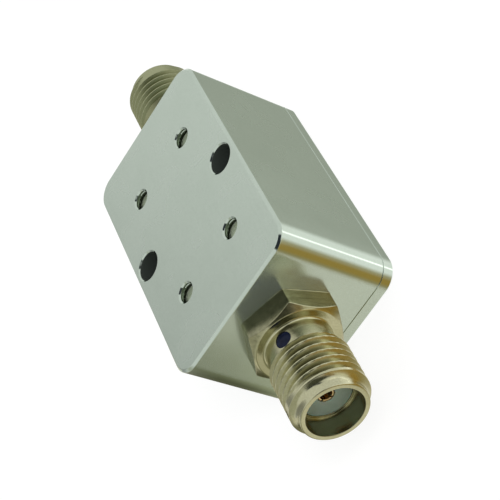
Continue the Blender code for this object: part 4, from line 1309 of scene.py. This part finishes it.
# %% Tones
# Painted reflections: each tone below is what a wall mirrors, and the shade tones are painted shade of the floor.
WHITE_CARD, GREY_CARD, PALE_CARD = (1.05, 1.06, 1.03), (0.45, 0.47, 0.41), (0.78, 0.76, 0.66)
OLIVE_CARD, WARM_CARD, TAN_CARD = (0.38, 0.32, 0.16), (0.42, 0.28, 0.07), (0.50, 0.44, 0.28)
NEAR_CARD, SHADE_CARD, TOP_CARD = (0.55, 0.54, 0.36), (0.12, 0.12, 0.07), (0.85, 0.85, 0.72)
# Each line: the normal's azimuth on the block, and the tone that it mirrors
CORNER_CARDS = [
    (-60, PALE_CARD),
    (0, PALE_CARD),
    (11, OLIVE_CARD),
    (18, WARM_CARD),
    (27, WARM_CARD),
    (36, TAN_CARD),
    (45, WHITE_CARD),
    (74, WHITE_CARD),
    (89, GREY_CARD),
]
GLINT_AT, GLINT_WIDTH, GLINT = 58.0, 1.6, 1.2
SHADE_FROM, SHADE_OVER = 1.5 * MM, 7.6 * MM
TOP_AT, TOP_WIDTH = 34.0, 9.0


def rising(value, start, length):
    """0 up to start, then straight up to 1 over a length."""
    return np.clip((value - start) / length, 0.0, 1.0)


def card_tones(y, azimuth, reach):
    """Tone of each column and row.

    On the +Y corner it depends on the normal's azimuth. Towards -Y it sinks into shade, from a lighter tone
    right beside the block, and round the -Y corner the shade comes closer and gets deeper. Past an azimuth it is
    pale again further out, and the sheet's outer part is pale where the hexagon's upper flat mirrors it.
    """
    at, cards = zip(*CORNER_CARDS)
    corner = np.stack([np.interp(azimuth, at, channel) for channel in np.array(cards).T], axis=-1)
    corner += GLINT * np.exp(-(((azimuth - GLINT_AT) / GLINT_WIDTH) ** 2))[:, None]
    shade = np.clip((SHADE_FROM - y) / SHADE_OVER, 0.0, 1.0) ** 1.5
    round_corner = rising(-azimuth, 0.0, 30.0)
    beside = np.exp(-((reach / ((9.5 - 5.0 * round_corner) * MM)) ** 2))
    outer = rising(-azimuth, 8.0, 14.0) * rising(reach, 14.0 * MM, 14.0 * MM)
    far_tone = np.array(SHADE_CARD) * (1.9 - 0.9 * round_corner)[:, None]
    near_tone = np.array(NEAR_CARD) * (1.0 - 0.25 * round_corner)[:, None]
    shaded = far_tone + (near_tone - far_tone) * beside[..., None]
    shaded = shaded + (np.array(PALE_CARD) - shaded) * outer[..., None]
    tones = corner * (1 - shade[:, None]) + shaded * shade[:, None]
    past = rising(reach, 16.5 * MM, 3.0 * MM) * np.exp(-(((azimuth - TOP_AT) / TOP_WIDTH) ** 2))
    return tones + (np.array(TOP_CARD) - tones) * past[..., None]


tones = np.broadcast_to(card_tones(y, azimuth, reach), sheet_grid.shape)
print("tones from", round(float(tones.min()), 3), "to", round(float(tones.max()), 3))

# %% [markdown]
# ## The sheet in the scene
# The tones go into a colour attribute, one for each point, and the paper gives them off as light. The sheet is
# hidden from every ray but mirrored ones, so it neither shows nor lights anything.

# %% Put the sheet in the scene
def painted_reflection_sheet(grid, tones):
    """Mesh of the grid with its tones as a colour attribute. Nothing is merged, so rows and columns keep order."""
    rows, columns = grid.shape[:2]
    index = np.arange(rows * columns).reshape(rows, columns)
    corners = [index[:-1, :-1], index[1:, :-1], index[1:, 1:], index[:-1, 1:]]
    quads = np.stack(corners, axis=-1).reshape(-1, 4)
    mesh = bpy.data.meshes.new("painted_reflection_sheet")
    mesh.from_pydata(grid.reshape(-1, 3).tolist(), [], quads.tolist())
    layer = mesh.color_attributes.new("tone", "FLOAT_COLOR", "POINT")
    colours = np.concatenate([tones.reshape(-1, 3), np.ones((rows * columns, 1))], axis=1)
    layer.data.foreach_set("color", colours.astype(np.float32).ravel())
    return mesh


def painted_reflection_glow():
    """The tone as light."""
    material = bpy.data.materials.new("painted_reflection_glow")
    material.use_nodes = True
    tree = material.node_tree
    tree.nodes.clear()
    tone = put(tree, "ShaderNodeAttribute", attribute_name="tone").outputs["Color"]
    glow = put(tree, "ShaderNodeEmission", {"Color": tone, "Strength": 1.0})
    put(tree, "ShaderNodeOutputMaterial", {"Surface": glow.outputs[0]})
    return material


sheet_mesh = painted_reflection_sheet(sheet_grid, tones)
sheet_mesh.materials.append(painted_reflection_glow())
sheet = add_object("painted_reflection_sheet", sheet_mesh)
sheet.visible_camera = sheet.visible_diffuse = sheet.visible_shadow = sheet.visible_transmission = False
print("card sheet", len(sheet_mesh.polygons), "faces")

# %% [markdown]
# ## Light
# A wide dome lights everything evenly and is what the metal mirrors above the floor. Cards hang in it, as in a
# studio: a grey one behind, which the large face mirrors on its darker side, a wall and a brown card low down, a
# dark shape behind the camera with a navy strip over it, and a bright lamp. They keep the metal from looking like
# paper. One soft lamp near the camera throws the shadow away behind the block, and mirrors don't show it.

# %% Cards in the dome
def round_card(tree, way, azimuth, height, inner, outer):
    """Mask of a round card: 1 within the inner angle of its middle, 0 beyond the outer one, in degrees."""
    azimuth, height, inner, outer = (math.radians(v) for v in (azimuth, height, inner, outer))
    middle = (math.cos(height) * math.cos(azimuth), math.cos(height) * math.sin(azimuth), math.sin(height))
    along = number_of(tree, "DOT_PRODUCT", way, middle)
    return ramp(tree, along, math.cos(outer), math.cos(inner), interpolation_type="SMOOTHSTEP")


def square_card(tree, way, azimuth, half, low, high, soft):
    """Mask of an upright card: within half degrees of an azimuth and between two heights, soft at the edges."""
    azimuth, half, low, high, soft = (math.radians(v) for v in (azimuth, half, low, high, soft))
    turn = {"Vector": way, "Angle": -azimuth}
    way = put(tree, "ShaderNodeVectorRotate", turn, rotation_type="Z_AXIS").outputs[0]
    beside = calculated(tree, "ARCTAN2", part_of(tree, way, "Y"), part_of(tree, way, "X"))
    above = calculated(tree, "ARCSINE", part_of(tree, way, "Z"))
    return product(tree, window(tree, beside, -half, half, soft), window(tree, above, low, high, soft * 0.6))


DOME_TONE = (0.985 * 0.82, 0.82, 0.985 * 0.82)
NAVY_CARD, DARK_CARD, WALL_CARD = (0.03, 0.035, 0.045), (0.06, 0.065, 0.045), (0.50, 0.51, 0.43)
BROWN_CARD, LAMP_CARD, ROOM_CARD = (0.33, 0.22, 0.07), (1.15, 1.15, 1.1), (0.32, 0.325, 0.32)
# Azimuth, height, inner and outer angle in degrees, tone
ROUND_CARDS = [(240.0, 22.0, 12.0, 36.0, ROOM_CARD)]
# Azimuth, half its width, lowest and highest height, softness in degrees, tone
SQUARE_CARDS = [
    (-50.0, 35.0, -8.0, 36.0, 8.0, WALL_CARD),
    (30.0, 16.0, -8.0, 10.0, 5.0, BROWN_CARD),
    (17.0, 28.0, 11.0, 56.0, 4.0, DARK_CARD),
    (38.0, 42.0, 47.0, 60.0, 4.0, NAVY_CARD),
    (76.0, 13.0, 4.0, 30.0, 6.0, LAMP_CARD),
]
print("cards in the dome:", len(ROUND_CARDS) + len(SQUARE_CARDS))

# %% [markdown]
# ## Dome and lamp
# The dome is the world's background. Each card's tone replaces what is behind it, in the order of the lists. Rays
# from the camera see plain white instead, so the picture's background stays clean.

# %% Dome and lamp
def studio_dome():
    """World: an even dome on which each card's tone replaces what is behind it, and plain white for camera rays."""
    world = bpy.data.worlds.new("studio_dome")
    world.use_nodes = True
    tree = world.node_tree
    tree.nodes.clear()
    way = coordinates(tree, "Generated")
    tone = DOME_TONE
    for *place, card in ROUND_CARDS:
        tone = blended(tree, round_card(tree, way, *place), tone, card)
    for *place, card in SQUARE_CARDS:
        tone = blended(tree, square_card(tree, way, *place), tone, card)
    dome = put(tree, "ShaderNodeBackground", {"Color": tone, "Strength": 1.0})
    plain = put(tree, "ShaderNodeBackground", {"Color": (1.0, 1.0, 1.0, 1.0), "Strength": 1.0})
    path = put(tree, "ShaderNodeLightPath").outputs
    both = put(tree, "ShaderNodeMixShader", {0: path["Is Camera Ray"], 1: dome.outputs[0], 2: plain.outputs[0]})
    put(tree, "ShaderNodeOutputWorld", {"Surface": both.outputs[0]})
    scene.world = world


LAMP_PLACE, LAMP_AIM, LAMP_SIZE, LAMP_POWER = Vector((0.16, 0.17, 0.26)), Vector((0.004, 0, 0.005)), 0.12, 0.35


def soft_lamp():
    """Square area lamp turned to the middle of the object."""
    data = bpy.data.lights.new("key_lamp", "AREA")
    data.size, data.energy = LAMP_SIZE, LAMP_POWER
    lamp = add_object("key_lamp", data)
    lamp.location = LAMP_PLACE
    lamp.rotation_euler = (LAMP_PLACE - LAMP_AIM).to_track_quat("Z", "Y").to_euler()
    lamp.visible_glossy = False


studio_dome()
soft_lamp()
print("lamp", round((LAMP_PLACE - LAMP_AIM).length / MM), "mm from the object")
